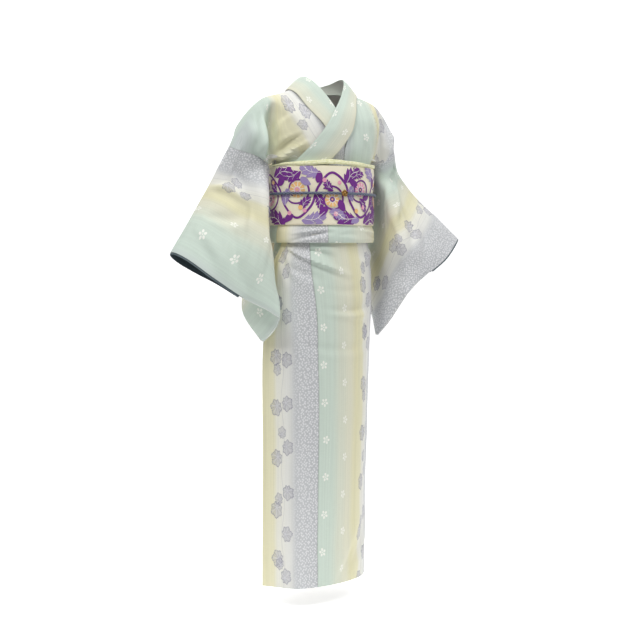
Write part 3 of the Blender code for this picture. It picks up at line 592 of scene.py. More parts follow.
def noise(at, scale=1.0, detail=3.0):
    made = new_node("TexNoise", at)
    wire(at, made.inputs["Vector"])
    made.inputs["Scale"].default_value = scale
    made.inputs["Detail"].default_value = detail
    return Output(made.outputs[0])


def new_group(name, inputs, outputs):
    """A node group, what it is given and what it gives. Its sockets are numbers, but an output Color."""
    group = bpy.data.node_groups.new(name, "ShaderNodeTree")
    for label, default in inputs:
        socket = group.interface.new_socket(name=label, in_out="INPUT", socket_type="NodeSocketFloat")
        socket.default_value = default
    for label in outputs:
        kind = "NodeSocketColor" if label == "Color" else "NodeSocketFloat"
        group.interface.new_socket(name=label, in_out="OUTPUT", socket_type=kind)
    start = group.nodes.new("NodeGroupInput")
    end = group.nodes.new("NodeGroupOutput")
    return group, {socket.name: Output(socket) for socket in start.outputs}, end.inputs


def use(tree, group, **values):
    """Places a group in a material or another group, and sets its inputs by name."""
    made = tree.nodes.new("ShaderNodeGroup")
    made.node_tree = group
    for label, value in values.items():
        wire(value, made.inputs[label])
    return {socket.name: Output(socket) for socket in made.outputs}


# %% [markdown]
# ### Motifs of the bolt
#
# A blossom is five small ovals round a dot, and a vine leaf is a rounded fan that spreads from its
# stalk to a softly scalloped edge, with a pale vein down each scallop and fine hatching between.
# Both repeat down the bolt in columns, and a number drawn for each repeat turns it, so that no two
# neighbours look stamped.

# %% A column of repeats, shared by both motifs
PLACING = ("Across", "Along", "Column", "Pitch", "Shift")


def column_of_repeats():
    group, given, gives = new_group(
        "column of repeats",
        [("Across", 0.0), ("Along", 0.0), ("Column", 0.1), ("Pitch", 0.09), ("Shift", 0.0), ("Sway", 0.004)],
        ["Radius", "Angle", "Chance"],
    )
    run = (given["Along"] + given["Shift"]) / given["Pitch"]
    number = calc("FLOOR", run)
    seed = number + given["Column"] * 271.0
    chance = group.nodes.new("ShaderNodeTexWhiteNoise")
    chance.noise_dimensions = "1D"
    wire(seed, chance.inputs["W"])
    drawn = Output(chance.outputs["Value"])
    sway = (drawn - 0.5) * given["Sway"]
    x = given["Across"] - given["Column"] - sway
    y = (run - number - 0.5) * given["Pitch"]
    wire(calc("SQRT", x * x + y * y), gives["Radius"])
    wire(calc("ARCTAN2", x, y), gives["Angle"])
    wire(drawn, gives["Chance"])
    return group


def fold_angle(angle, lobes):
    """The angle from the nearest of the evenly spaced lobes."""
    turn = 2 * np.pi / lobes
    share = angle / turn + 20.5
    return (calc("FRACT", share) - 0.5) * turn


# %% Five-petalled blossoms
def blossom_group(repeats):
    group, given, gives = new_group(
        "small blossoms",
        [("Across", 0.0), ("Along", 0.0), ("Column", 0.1), ("Pitch", 0.09), ("Shift", 0.0), ("Size", 0.011)],
        ["Petals", "Heart"],
    )
    place = use(group, repeats, Sway=0.010, **{label: given[label] for label in PLACING})
    turned = place["Angle"] + place["Chance"] * 6.28
    off = fold_angle(turned, 5)
    out = place["Radius"] / given["Size"]
    along = out * calc("COSINE", off) - 0.64
    beside = out * calc("SINE", off)
    along = along / 0.34
    beside = beside / 0.27
    petal = along * along + beside * beside
    wire(between(petal, 1.25, 0.75), gives["Petals"])
    wire(between(out, 0.22, 0.13), gives["Heart"])
    return group


# %% Vine leaves
def leaf_group(repeats):
    group, given, gives = new_group(
        "vine leaves",
        [("Across", 0.0), ("Along", 0.0), ("Column", 0.26), ("Pitch", 0.085), ("Shift", 0.0), ("Size", 0.016),
         ("Lean", 0.6)],
        ["Leaf", "Vein"],
    )
    place = use(group, repeats, Sway=0.014, **{label: given[label] for label in PLACING})
    turn = (place["Chance"] - 0.5) * 2.4
    turned = place["Angle"] + turn + given["Lean"]
    off = fold_angle(turned, 7)
    out = place["Radius"] / given["Size"]
    swell = calc("COSINE", off * 7.0)
    tip = calc("COSINE", turned) * 0.22
    saw = calc("SINE", turned * 29.0) * 0.03
    reach = swell * 0.07 + 0.74 + tip
    edge = reach + saw - out
    inside = between(edge, -0.03, 0.05)
    rim = inside * between(edge, 0.14, 0.05, 0.0, 0.5)
    leaf = inside * 0.38 + rim
    fine = fold_angle(turned, 21)
    vein_off = calc("ABSOLUTE", out * calc("SINE", off))
    twig_off = calc("ABSOLUTE", out * calc("SINE", fine))
    vein = between(vein_off, 0.05, 0.025) * between(edge, 0.1, 0.22)
    hatch = between(twig_off, 0.05, 0.02) * inside
    leaf = leaf + hatch * 0.32
    wire(leaf, gives["Leaf"])
    wire(vein, gives["Vein"])
    return group


# %% The lattice of white dots
def dot_group():
    group, given, gives = new_group(
        "white dots", [("Across", 0.0), ("Along", 0.0), ("Pitch", 0.0092), ("Size", 0.30)],
        ["Dots"],
    )
    cells = group.nodes.new("ShaderNodeTexVoronoi")
    cells.voronoi_dimensions = "2D"
    cells.inputs["Scale"].default_value = 1.0
    cells.inputs["Randomness"].default_value = 0.70
    first = (given["Across"] + given["Along"]) / given["Pitch"]
    second = (given["Across"] - given["Along"]) / given["Pitch"]
    wire(vector(first, second), cells.inputs["Vector"])
    low = given["Size"] + 0.1
    high = given["Size"] - 0.06
    wire(between(Output(cells.outputs["Distance"]), low, high), gives["Dots"])
    return group


# %% The plain weave of hand-spun silk, with its thick and thin weft
def weave_group():
    group, given, gives = new_group(
        "hand-spun weave", [("Across", 0.0), ("Along", 0.0), ("Slub", 1.0)],
        ["Tone", "Height"],
    )
    weft = noise(vector(given["Across"] * 45.0, given["Along"] * 1500.0), 1.0, 2.0)
    warp = noise(vector(given["Across"] * 1400.0, given["Along"] * 30.0, 4.0), 1.0, 2.0)
    both = weft * 0.65 + warp * 0.35
    lifted = (both - 0.5) * given["Slub"]
    wire(lifted * 0.22 + 1.0, gives["Tone"])
    wire(lifted, gives["Height"])
    return group


# %% [markdown]
# ### The whole bolt
#
# Across its 38 cm the bolt runs from lavender through mint, beige, yellow and cream back to
# lavender. The dye bleeds from one stripe into the next, so a colour ramp with broad steps makes the
# ground, and the motifs are laid over it in the stripes where they belong.

# %% The bolt's ground and motifs in one group
# Columns: place across the bolt, colour.
GROUND = [(-0.030, "#C1C3C8"), (0.000, "#C4CCCA"), (0.035, "#C9D7CC"), (0.085, "#CBD8CC"), (0.125, "#D6DAC9"),
          (0.165, "#DDDCC7"), (0.200, "#DFDBB8"), (0.228, "#E3DFC0"), (0.250, "#E6E5DA"), (0.292, "#E1E1DC"),
          (0.320, "#C3C5C7"), (0.385, "#BDBFC2")]
GROUND_FROM = -0.03
GROUND_TO = 0.39
# Columns: place across the bolt, pitch along it, shift, size.
BLOSSOMS = [(0.066, 0.094, 0.0, 0.0110), (0.138, 0.094, 0.047, 0.0110)]
# Columns: the same, and the lean.
VINE_LEAVES = [(0.252, 0.127, 0.0, 0.0275, 1.0), (0.284, 0.109, 0.040, 0.0250, -1.2),
               (0.262, 0.163, 0.088, 0.0200, 2.2)]


def bolt_group(blossoms, leaves, dots):
    group, given, gives = new_group("printed bolt", [("Across", 0.0), ("Along", 0.0)], ["Color"])
    across = given["Across"]
    along = given["Along"]
    drift = noise(vector(across * 6.0, along * 5.0), 1.0)
    moved = across + (drift - 0.5) * 0.022
    ramp = group.nodes.new("ShaderNodeValToRGB")
    ramp.color_ramp.interpolation = "EASE"
    span = GROUND_TO - GROUND_FROM
    for i, (place, text) in enumerate(GROUND):
        at = (place - GROUND_FROM) / span
        stop = ramp.color_ramp.elements[i] if i < 2 else ramp.color_ramp.elements.new(at)
        stop.position = at
        stop.color = colour(text)
    wire((moved - GROUND_FROM) / span, ramp.inputs[0])
    tint = Output(ramp.outputs[0])
    brush = noise(vector(across * 210.0, along * 2.5, 7.0), 1.0, 2.0)
    tint = blend(1.0, tint, between(brush, 0.25, 0.75, 0.955, 1.03), "MULTIPLY")
    dotted = use(group, dots, Across=across, Along=along)["Dots"]
    near_end = calc("MAXIMUM", between(across, 0.296, 0.335), between(across, 0.012, -0.012))
    tint = blend(dotted * near_end * 0.62, tint, colour("#EFEFF0"))
    for place, pitch, shift, size in BLOSSOMS:
        made = use(group, blossoms, Across=across, Along=along, Column=place, Pitch=pitch, Shift=shift,
                   Size=size)
        white = calc("MAXIMUM", made["Petals"], made["Heart"])
        tint = blend(white * 0.82, tint, colour("#F4F4EC"))
    sway = calc("SINE", along * 37.0) * 0.006
    stem_off = calc("ABSOLUTE", across - 0.272 - sway)
    tint = blend(between(stem_off, 0.0013, 0.0006) * 0.28, tint, colour("#8E8F9C"))
    for place, pitch, shift, size, lean in VINE_LEAVES:
        made = use(group, leaves, Across=across, Along=along, Column=place, Pitch=pitch, Shift=shift,
                   Size=size, Lean=lean)
        patchy = noise(vector(across * 90.0, along * 90.0), 1.0)
        deep = made["Leaf"] * between(patchy, 0.2, 0.8, 0.6, 1.0)
        tint = blend(deep, tint, colour("#8C8B9B"))
        tint = blend(made["Vein"] * 0.6, tint, colour("#DDDDE0"))
    wire(tint, gives["Color"])
    return group


REPEATS = column_of_repeats()
WEAVE = weave_group()
BOLT = bolt_group(blossom_group(REPEATS), leaf_group(REPEATS), dot_group())
print("node groups:", [group.name for group in bpy.data.node_groups])

# %% [markdown]
# ## Materials
#
# Tsumugi is spun from short silk, so it is dull beside satin: rough, with a faint sheen at grazing
# angles. The belt is stiffer and smoother, the cord is a tight braid and the sash a crinkled crepe.

# %% A start for every cloth material
def start_material(name, roughness, sheen=0.0, sheen_roughness=0.5):
    made = bpy.data.materials.new(name)
    made.use_nodes = True
    shader = made.node_tree.nodes["Principled BSDF"]
    shader.inputs["Roughness"].default_value = roughness
    shader.inputs["Sheen Weight"].default_value = sheen
    shader.inputs["Sheen Roughness"].default_value = sheen_roughness
    shader.inputs["Specular IOR Level"].default_value = 0.35
    return made, made.node_tree, shader


def bolt_coordinates(tree):
    place = tree.nodes.new("ShaderNodeAttribute")
    place.attribute_name = "bolt"
    split = tree.nodes.new("ShaderNodeSeparateXYZ")
    tree.links.new(place.outputs["Vector"], split.inputs[0])
    return [Output(socket) for socket in split.outputs]


def bump(height, shader, strength, distance):
    made = new_node("Bump", height)
    made.inputs["Strength"].default_value = strength
    made.inputs["Distance"].default_value = distance
    wire(height, made.inputs["Height"])
    wire(Output(made.outputs[0]), shader.inputs["Normal"])


# %% The printed silk, its linings and the dark cuff lining
def printed_silk():
    made, tree, shader = start_material("printed tsumugi silk", 0.78, 0.18, 0.4)
    place = bolt_coordinates(tree)
    weave = use(tree, WEAVE, Across=place[0], Along=place[1], Slub=1.0)
    tint = use(tree, BOLT, Across=place[0], Along=place[1])["Color"]
    tone = blend(1.0, tint, weave["Tone"], "MULTIPLY")
    # Painted shade: within about 2 mm of a seam the colour is darkened to 80 %, where the seam's crease would
    # lie in shadow.
    seam_shade = between(place[2], 0.0, 0.0022, 0.8, 1.0)
    wire(blend(1.0, tone, seam_shade, "MULTIPLY"), shader.inputs["Base Color"])
    bump(weave["Height"], shader, 0.35, 0.0004)
    return made


def plain_silk(name, text, roughness, slub):
    made, tree, shader = start_material(name, roughness, 0.12, 0.4)
    place = bolt_coordinates(tree)
    weave = use(tree, WEAVE, Across=place[0], Along=place[1], Slub=slub)
    wire(blend(1.0, colour(text), weave["Tone"], "MULTIPLY"), shader.inputs["Base Color"])
    bump(weave["Height"], shader, 0.3, 0.0003)
    return made


SILK = printed_silk()
LINING = plain_silk("pale lining silk", "#ECEBE6", 0.6, 0.5)
CUFF = plain_silk("slate lining silk", "#56646A", 0.6, 0.6)
OBI_GROUND = plain_silk("cream belt weave", "#F0E8D0", 0.55, 1.5)
THREADS = {"purple": "#74308A", "lavender": "#9F8CBC", "orange": "#F1C283", "pink": "#EDA6BE",
           "pale": "#F8F3EA"}
OBI_INKS = {ink: plain_silk(ink + " belt thread", text, 0.42, 1.0) for ink, text in THREADS.items()}


# %% The sash, the braided cord and the brooch
def crepe():
    made, tree, shader = start_material("crinkled sash crepe", 0.7, 0.25, 0.4)
    place = bolt_coordinates(tree)
    at = vector(place[0] * 260.0, place[1] * 160.0)
    crinkle_and_shade = noise(at, 1.0, 4.0)
    # Painted shade: the crinkle's hollows, which the bump lowers, get the darker yellow and its crests the
    # paler one.
    tint = blend(between(crinkle_and_shade, 0.3, 0.7), colour("#DCDDA8"), colour("#F0EFCF"))
    wire(tint, shader.inputs["Base Color"])
    bump(crinkle_and_shade, shader, 0.8, 0.0012)
    return made


def braid():
    made, tree, shader = start_material("slate cord braid", 0.5, 0.15, 0.3)
    place = bolt_coordinates(tree)
    turn = place[0] * 4.0
    run = place[1] * (2 * np.pi / BRAID_PITCH)
    over = calc("SINE", turn + run)
    under = calc("SINE", turn - run)
    strands = calc("MAXIMUM", over, under)
    # The cord is slate; the gaps between its strands, which the bump lowers, are painted darker as shade and
    # the strands' tops paler.
    tint = blend(between(strands, -0.2, 0.9), colour("#454C5C"), colour("#6C7588"))
    wire(tint, shader.inputs["Base Color"])
    bump(strands, shader, 0.5, 0.0006)
    return made


def old_gold():
    made, tree, shader = start_material("antique gold", 0.34)
    shader.inputs["Metallic"].default_value = 0.85
    shape = tree.nodes.new("ShaderNodeTexCoord")
    grime = noise(Output(shape.outputs["Object"]), 420.0, 4.0)
    tint = blend(between(grime, 0.35, 0.65), colour("#6E4A26"), colour("#C79A5A"))
    wire(tint, shader.inputs["Base Color"])
    bump(grime, shader, 0.25, 0.0004)
    return made


CREPE = crepe()
BRAID = braid()
GOLD = old_gold()
print("materials:", len(bpy.data.materials))

# %% [markdown]
# ## Sleeves
#
# A kimono sleeve is a flat bag: one strip folded over the arm and sewn at the bottom. It hangs
# from the arm, so its middle surface is read from the table, and two layers lie either side of it.
# The layers part most at the fold, where an arm would be, and meet at the bottom. The edge towards the
# body stays open below the armhole, and the cuff is open above its sewn part.

# %% The sleeve's two layers
SEAM_GAP = 0.0003
CENTRE_GAP = 0.0002
CUFF_CORNER = 0.010
CUFF_FLATTENING = 0.35
FRONT_CREASE = 0.70
LINING_REACH = 0.0045


def sleeve_middle(side, depths, alongs):
    """The surface half way between a sleeve's layers, and its direction towards the front."""
    table = SLEEVE_LEFT if side > 0 else SLEEVE_RIGHT
    keys = [row[0] for row in table]

    def surface(down, along):
        lines = np.array([evenly(row[1:], np.clip(along, 0, 1)) for row in table])
        flat = lines.reshape(len(table), -1)
        down = np.clip(down, 0, 1)
        smooth = through(flat, keys, down).reshape(len(down), len(along), 3)
        creased = np.column_stack([np.interp(down, keys, line) for line in flat.T]).reshape(smooth.shape)
        share = np.exp(-(((down - FRONT_CREASE) / 0.10) ** 2))[:, None] * ease(along, 0.55, 0.95)[None, :]
        return smooth + (creased - smooth) * share[..., None]

    step = 0.02
    downward = surface(depths + step, alongs) - surface(depths - step, alongs)
    onward = surface(depths, alongs + step) - surface(depths, alongs - step)
    return surface(depths, alongs), unit(np.cross(onward, downward)) * (-side)


def sleeve_layers(side, depths, alongs, inset=0.0):
    """A sleeve's front and back layer, as grids of depth by length. The gap is read by the root of the depth,
    which rounds the fold over the arm."""
    depths = np.asarray(depths, float)
    alongs = np.asarray(alongs, float)
    middle, front = sleeve_middle(side, depths, alongs)
    steps = np.sqrt([row[0] for row in SLEEVE_GAP])
    at_arm = np.interp(np.sqrt(depths), steps, [row[1] for row in SLEEVE_GAP])[:, None]
    at_cuff = np.interp(np.sqrt(depths), steps, [row[2] for row in SLEEVE_GAP])[:, None]
    gap = at_arm + (at_cuff - at_arm) * alongs[None, :]
    sewn = ease(depths, CUFF_OPENING - 0.015, CUFF_OPENING + 0.03)[:, None]
    sewn = sewn * ease(alongs, 0.965, 1.0)[None, :]
    flat = 1 - CUFF_FLATTENING * ease(alongs, 0.70, 1.0)[None, :]
    gap = np.maximum((gap * flat - inset) * (1 - 0.9 * sewn), 0.0)[..., None]
    return middle + front * gap, middle - front * gap, middle


def armhole_point(side, depth):
    """A point of the sleeve's edge at the armhole, on the front layer, or on the back layer below zero."""
    front, back, _ = sleeve_layers(side, [abs(depth)], [0.0, 0.02])
    layer = front if depth >= 0 else back
    return layer[0, 0] + unit(layer[0, 0] - layer[0, 1]) * SEAM_GAP


def sleeve_bag(side, depths, alongs, inset=0.0):
    """Both layers as one sheet that runs from the back's bottom edge over the arm to the front's."""
    front, back, middle = sleeve_layers(side, depths, alongs, inset)
    points = np.concatenate([back[:0:-1], front])
    core = np.concatenate([middle[:0:-1], middle])
    signed = np.concatenate([-depths[:0:-1], depths])
    return points, core, signed


# %% Folds of the sleeves
# Columns: path of (from the armhole, below the arm) in metres, half width, rise. Below zero is a trough, and
# behind the arm the second number is negative.
SLEEVE_FOLDS = {
    -1: [
        ([(0.118, -0.020), (0.112, 0.060), (0.104, 0.125)], 0.011, 0.0075),
        ([(0.205, 0.055), (0.180, 0.095), (0.140, 0.118)], 0.015, -0.0075),
        ([(0.200, 0.112), (0.262, 0.152), (0.300, 0.205)], 0.011, -0.0060),
        ([(0.115, 0.130), (0.180, 0.142), (0.250, 0.172)], 0.007, 0.0050),
        ([(0.030, 0.030), (0.060, 0.075), (0.075, 0.125)], 0.012, -0.0050),
        ([(0.255, 0.040), (0.275, 0.110), (0.320, 0.165)], 0.014, 0.0040),
        ([(0.120, 0.190), (0.190, 0.235), (0.270, 0.270)], 0.012, -0.0040),
        ([(0.170, 0.170), (0.240, 0.205), (0.310, 0.260)], 0.010, 0.0040),
        ([(0.060, 0.250), (0.130, 0.320), (0.210, 0.360)], 0.016, 0.0040),
        ([(0.020, 0.300), (0.080, 0.370), (0.160, 0.420)], 0.016, -0.0035),
        ([(0.060, -0.040), (0.085, -0.120), (0.095, -0.230)], 0.018, -0.0060),
        ([(0.160, -0.050), (0.175, -0.160), (0.170, -0.290)], 0.024, 0.0065),
        ([(0.240, -0.070), (0.245, -0.180), (0.230, -0.330)], 0.022, -0.0055),
        ([(0.110, -0.060), (0.135, -0.150), (0.140, -0.220)], 0.012, 0.0040),
        ([(0.040, -0.260), (0.110, -0.330), (0.200, -0.380)], 0.022, 0.0040),
    ],
    1: [
        ([(0.045, 0.062), (0.118, 0.150), (0.205, 0.250)], 0.008, 0.0070),
        ([(0.125, 0.128), (0.190, 0.142), (0.240, 0.235)], 0.012, -0.0080),
        ([(0.120, 0.048), (0.180, 0.076), (0.275, 0.085)], 0.018, 0.0050),
        ([(0.050, 0.140), (0.085, 0.190), (0.125, 0.270)], 0.006, -0.0040),
        ([(0.075, 0.160), (0.112, 0.215), (0.150, 0.285)], 0.005, 0.0030),
        ([(0.230, 0.120), (0.260, 0.170), (0.300, 0.240)], 0.014, -0.0040),
        ([(0.200, 0.230), (0.240, 0.280), (0.300, 0.320)], 0.014, 0.0040),
        ([(0.040, 0.290), (0.100, 0.350), (0.180, 0.390)], 0.016, 0.0035),
        ([(0.020, 0.030), (0.045, 0.070), (0.060, 0.120)], 0.009, -0.0050),
        ([(0.070, -0.050), (0.090, -0.130), (0.090, -0.240)], 0.018, -0.0060),
        ([(0.150, -0.040), (0.170, -0.150), (0.180, -0.270)], 0.024, 0.0065),
        ([(0.235, -0.080), (0.240, -0.190), (0.220, -0.320)], 0.022, -0.0055),
        ([(0.115, -0.070), (0.130, -0.140), (0.135, -0.200)], 0.012, 0.0035),
        ([(0.050, -0.280), (0.120, -0.340), (0.190, -0.400)], 0.020, 0.0040),
    ],
}
# Columns: share of the way from the armhole to the cuff, place across the bolt.
SLEEVE_BOLT = {
    -1: [(0.00, 0.380), (0.23, 0.300), (0.33, 0.240), (0.47, 0.184), (0.65, 0.100), (0.88, 0.045),
         (1.00, 0.014)],
    1: [(0.00, -0.030), (0.08, 0.005), (0.18, 0.060), (0.32, 0.120), (0.45, 0.200), (0.60, 0.260),
        (0.72, 0.310), (1.00, 0.390)],
}
SLEEVE_PRINT_SHIFT = {-1: 0.020, 1: 0.061}


def pressed_in(side, points, core, depths, alongs, folds, fade):
    """Moves a sleeve's points along their own normals by its folds."""
    across, down = np.meshgrid(alongs * SLEEVE_WIDTH, depths * SLEEVE_DROP)
    height = fold_height(across, down, folds) + soft_waves(across, down, 11 + side, 0.0012)
    return points + facing_out(points, points - core) * (height * fade)[..., None], across, down


def make_sleeve(side):
    share = np.linspace(0, 1, 76)
    depths = 0.35 * share**2 + 0.65 * share
    alongs = np.linspace(0, 1, 67)
    points, core, signed = sleeve_bag(side, depths, alongs)
    corner = CUFF_CORNER / SLEEVE_WIDTH
    drop = CUFF_CORNER / SLEEVE_DROP
    low = np.clip((np.abs(signed) - (1 - drop)) / drop, 0, 1)
    reach = 1 - corner * (1 - np.sqrt(1 - low**2))
    for row, limit in enumerate(reach):
        if limit < 1:
            for grid, axis in product((points, core), range(3)):
                grid[row, :, axis] = np.interp(alongs * limit, alongs, grid[row, :, axis])
    fade = (ease(alongs, 0.0, 0.10) * (1 - 0.6 * ease(alongs, 0.90, 1.0)))[None, :]
    fade = fade * (ease(np.abs(signed), 0.0, 0.10) * (1 - ease(np.abs(signed), 0.93, 0.995)))[:, None]
    points, across, down = pressed_in(side, points, core, signed, alongs, SLEEVE_FOLDS[side], fade)
    bolt_across = np.interp(alongs, *zip(*SLEEVE_BOLT[side]))
    seam = np.minimum(across, (1 - np.abs(down) / SLEEVE_DROP) * SLEEVE_DROP + 0.004)
    name = "sleeve_left" if side > 0 else "sleeve_right"
    place = bolt_place(bolt_across, down + SLEEVE_PRINT_SHIFT[side] + 1, seam)
    made = cloth(name, points, points - core, place, CLOTH, SILK, LINING, [name],
                 "yellow" if side > 0 else "mint")
    return made, points, core, signed, alongs


def make_cuff_lining(side, sleeve_points, core, signed, alongs):
    """The lining follows the sleeve's own inner face, folds and all, and turns out past the cuff's edge."""
    first = np.searchsorted(alongs, LINING_START)
    rows = np.abs(signed) < CUFF_OPENING - 0.004
    face = facing_out(sleeve_points, sleeve_points - core)
    deep = CLOTH + 0.0004 + 0.0012 * (1 - ease(alongs, 0.97, 1.0))
    points = (sleeve_points - face * deep[None, :, None])[rows, first:]
    points[:, -1] += unit(points[:, -1] - points[:, -2]) * LINING_REACH
    across, down = np.meshgrid(alongs[first:] * SLEEVE_WIDTH, signed[rows] * SLEEVE_DROP)
    name = "cuff_lining_left" if side > 0 else "cuff_lining_right"
    return cloth(name, points, points - core[rows, first:], bolt_place(across, down), LINING_CLOTH,
                 CUFF, CUFF, [name], "slate")


for side in (-1, 1):
    made, *surface = make_sleeve(side)
    lining = make_cuff_lining(side, *surface)

# %% [markdown]
# ## Body panels
#
# Each body panel is one strip that runs from the belt in front over the shoulder to the belt
# behind, without a shoulder seam. Its outer edge is sewn to the sleeve, which sits well down the
# upper arm, so the panel droops over the shoulder in a ridge with a deep valley beside it.

# %% The panels' sections and points
def body_sections(side):
    inset = 0.0 if side > 0 else UNDER_FRONT_INSET
    sections = []
    for z, edge_angle in reversed(BELT_ROWS):
        insets = LEFT_BELT_INSETS if side > 0 else RIGHT_BELT_INSETS
        angles = [-180 - angle if side > 0 else angle for angle in FRONT_BELT_ANGLES]
        row = [oval(angle, here, z) for angle, here in zip([edge_angle] + angles, insets)]
        if side > 0:
            row[0] = chest_point(OVERLAP_SEAM_X, z, COLLAR_LIFT)
        sections.append(row)
    for name, place, chest, flank, valley, ridge, depth in BODY:
        station = place if side > 0 else len(COLLAR) - 1 - place
        if name == "back rib":
            edge = np.array([side * CENTRE_GAP, chest[1] + 0.003, chest[2]])
        elif side > 0 and name == "front rib":
            edge = chest_point(OVERLAP_SEAM_X, chest[2], COLLAR_LIFT)
        else:
            edge = body_edge(station)
            if name == "back blade":
                edge[0] = side * CENTRE_GAP
        keys = [placed((x, y, z), inset) for x, y, z in (chest, flank, valley, ridge)]
        if depth is None:
            keys.append(np.array(BACK_RIB_EDGE))
        keys = [np.array([-side * key[0], key[1], key[2]]) for key in keys]
        if depth is not None:
            keys.append(armhole_point(side, depth))
        sections.append([edge, *keys])
    for z, _ in BELT_ROWS:
        row = [oval(90, BACK_BELT_INSET, z)]
        row[0][0] = side * CENTRE_GAP
        row += [oval(180 - angle if side > 0 else angle, BACK_BELT_INSET, z) for angle in BACK_BELT_ANGLES]
        sections.append(row)
    return np.array(sections)


# Columns: path of (x, height) in metres, half width, rise. On the back, x carries 5 more.
BODY_FOLDS = {
    -1: [
        ([(-0.153, -0.086), (-0.158, -0.120), (-0.160, -0.175), (-0.154, -0.236)], 0.0110, -0.0220),
        ([(-0.179, -0.100), (-0.184, -0.145), (-0.186, -0.215)], 0.0065, 0.0060),
        ([(-0.195, -0.120), (-0.200, -0.160), (-0.196, -0.200)], 0.0070, -0.0030),
        ([(-0.082, -0.178), (-0.112, -0.200), (-0.140, -0.232)], 0.0070, 0.0085),
        ([(-0.095, -0.160), (-0.122, -0.180), (-0.144, -0.206)], 0.0065, -0.0075),
        ([(-0.112, -0.110), (-0.132, -0.130), (-0.146, -0.160)], 0.0070, 0.0035),
        ([(-0.060, -0.205), (-0.090, -0.220), (-0.118, -0.244)], 0.0070, -0.0035),
        ([(4.960, -0.170), (4.930, -0.200), (4.900, -0.232)], 0.010, 0.0045),
        ([(4.880, -0.120), (4.870, -0.170), (4.880, -0.225)], 0.012, -0.0055),
        ([(4.840, -0.130), (4.845, -0.170), (4.850, -0.210)], 0.010, 0.0045),
    ],
    1: [
        ([(0.124, -0.072), (0.130, -0.120), (0.136, -0.180), (0.136, -0.228)], 0.0060, -0.0200),
        ([(0.138, -0.080), (0.147, -0.130), (0.157, -0.195)], 0.0065, 0.0065),
        ([(0.176, -0.110), (0.182, -0.150), (0.180, -0.190)], 0.0070, -0.0045),
        ([(0.075, -0.150), (0.098, -0.185), (0.112, -0.228)], 0.0090, 0.0035),
        ([(0.050, -0.120), (0.062, -0.160), (0.066, -0.215)], 0.0090, -0.0020),
        ([(5.040, -0.165), (5.080, -0.195), (5.105, -0.230)], 0.010, 0.0045),
        ([(5.115, -0.115), (5.130, -0.165), (5.122, -0.222)], 0.012, -0.0055),
        ([(5.160, -0.135), (5.155, -0.175), (5.150, -0.210)], 0.010, 0.0045),
    ],
}
# Columns: distance from the middle, place across the bolt. In front, much of the strip is lost in
# the side's fold.
FRONT_BOLT = {
    -1: [(0.060, 0.315), (0.095, 0.272), (0.115, 0.246), (0.140, 0.206), (0.150, 0.160), (0.158, 0.090),
         (0.172, 0.045), (0.230, 0.000)],
    1: [(0.000, -0.015), (0.050, 0.034), (0.118, 0.104), (0.136, 0.200), (0.162, 0.280), (0.230, 0.385)],
}
# What is added to x on the back, so that one table can hold both faces' folds.
BACK_SHIFT = 5.0
# Columns: share of the way from the middle of the back to the armhole, place across the bolt.
BACK_BOLT = {-1: [(0.0, 0.315), (1.0, 0.030)], 1: [(0.0, 0.055), (1.0, 0.360)]}


def make_body(side):
    sections = body_sections(side)
    run = lengths(sections[:, 2])
    first = len(BELT_ROWS)
    depths = np.array([row[-1] for row in BODY if row[-1] is not None])
    met = run[first:first + len(depths)]
    at = np.concatenate([np.linspace(run[0], met[0], 22)[:-1], np.linspace(met[0], met[-1], 60),
                         np.linspace(met[-1], run[-1], 22)[1:]])
    rows = through(sections.reshape(len(sections), -1), run, at).reshape(len(at), -1, 3)
    for row, place in zip(rows, at):
        if met[0] < place < met[-1]:
            row[-1] = armhole_point(side, np.interp(place, met, depths))
    shares = np.linspace(0, 1, 52)
    points = np.array([evenly(row, shares) for row in rows])
    outward = points - [side * 0.10, 0.0, -0.30]
    where = points[..., 0] + np.where(points[..., 1] > 0.02, BACK_SHIFT, 0.0)
    height = fold_height(where, points[..., 2], BODY_FOLDS[side])
    height += soft_waves(points[..., 0], at[:, None], 21 + side, 0.0008)
    fade = (ease(shares, 0.0, 0.10) * (1 - ease(shares, 0.90, 1.0)))[None, :]
    fade = fade * ease(points[..., 2], -0.245, -0.215)
    points = points + facing_out(points, outward) * (height * fade)[..., None]
    width = lengths(points[len(at) // 2])[-1]
    apart = np.abs(points[..., 0])
    if side < 0:
        apart = apart + 0.5 * (-0.10 - points[..., 2]) * (1 - ease(apart, 0.09, 0.15))
    front = np.interp(apart, *zip(*FRONT_BOLT[side]))
    back = np.interp(shares, *zip(*BACK_BOLT[side]))
    across = front + (back - front) * ease(points[..., 1], -0.01, 0.06)
    seam = np.minimum(shares, 1 - shares) * width
    name = "body_left" if side > 0 else "body_right"
    made = cloth(name, points, outward, bolt_place(across, at[:, None] + 0.4, seam), CLOTH, SILK, LINING,
                 [name], "cream")


for side in (-1, 1):
    make_body(side)


# %% [markdown]
# ## Collar and the strip beside it
#
# The collar is a long folded band. Its outer edge is sewn to the panels and its middle rounds out a
# little over its filling. Left over right, it crosses at the throat and runs in under the belt.

# %% The collar band
def make_collar():
    shares = np.linspace(0, 1, 19)
    stations = np.linspace(0, len(COLLAR) - 1, 330)
    line, out = collar_at(stations, shares)
    bulge = COLLAR_BULGE * np.sin(np.pi * shares) ** 0.6
    points = line + out[:, None] * bulge[None, :, None]
    along = lengths(line[:, 9])
    fade = (ease(shares, 0.0, 0.2) * (1 - ease(shares, 0.8, 1.0)))[None, :]
    wave = soft_waves(shares[None, :] * 0.05, along[:, None], 5, 0.0007, 0.08)
    points = points + out[:, None] * (wave * fade)[..., None]
    place = bolt_place(0.060 + 0.105 * shares, along[:, None] + 0.013, (1 - shares) * 0.055)
    made = cloth("collar", points, np.repeat(out[:, None], len(shares), axis=1), place, COLLAR_CLOTH, SILK,
                 LINING, ["collar"], "mint")


make_collar()


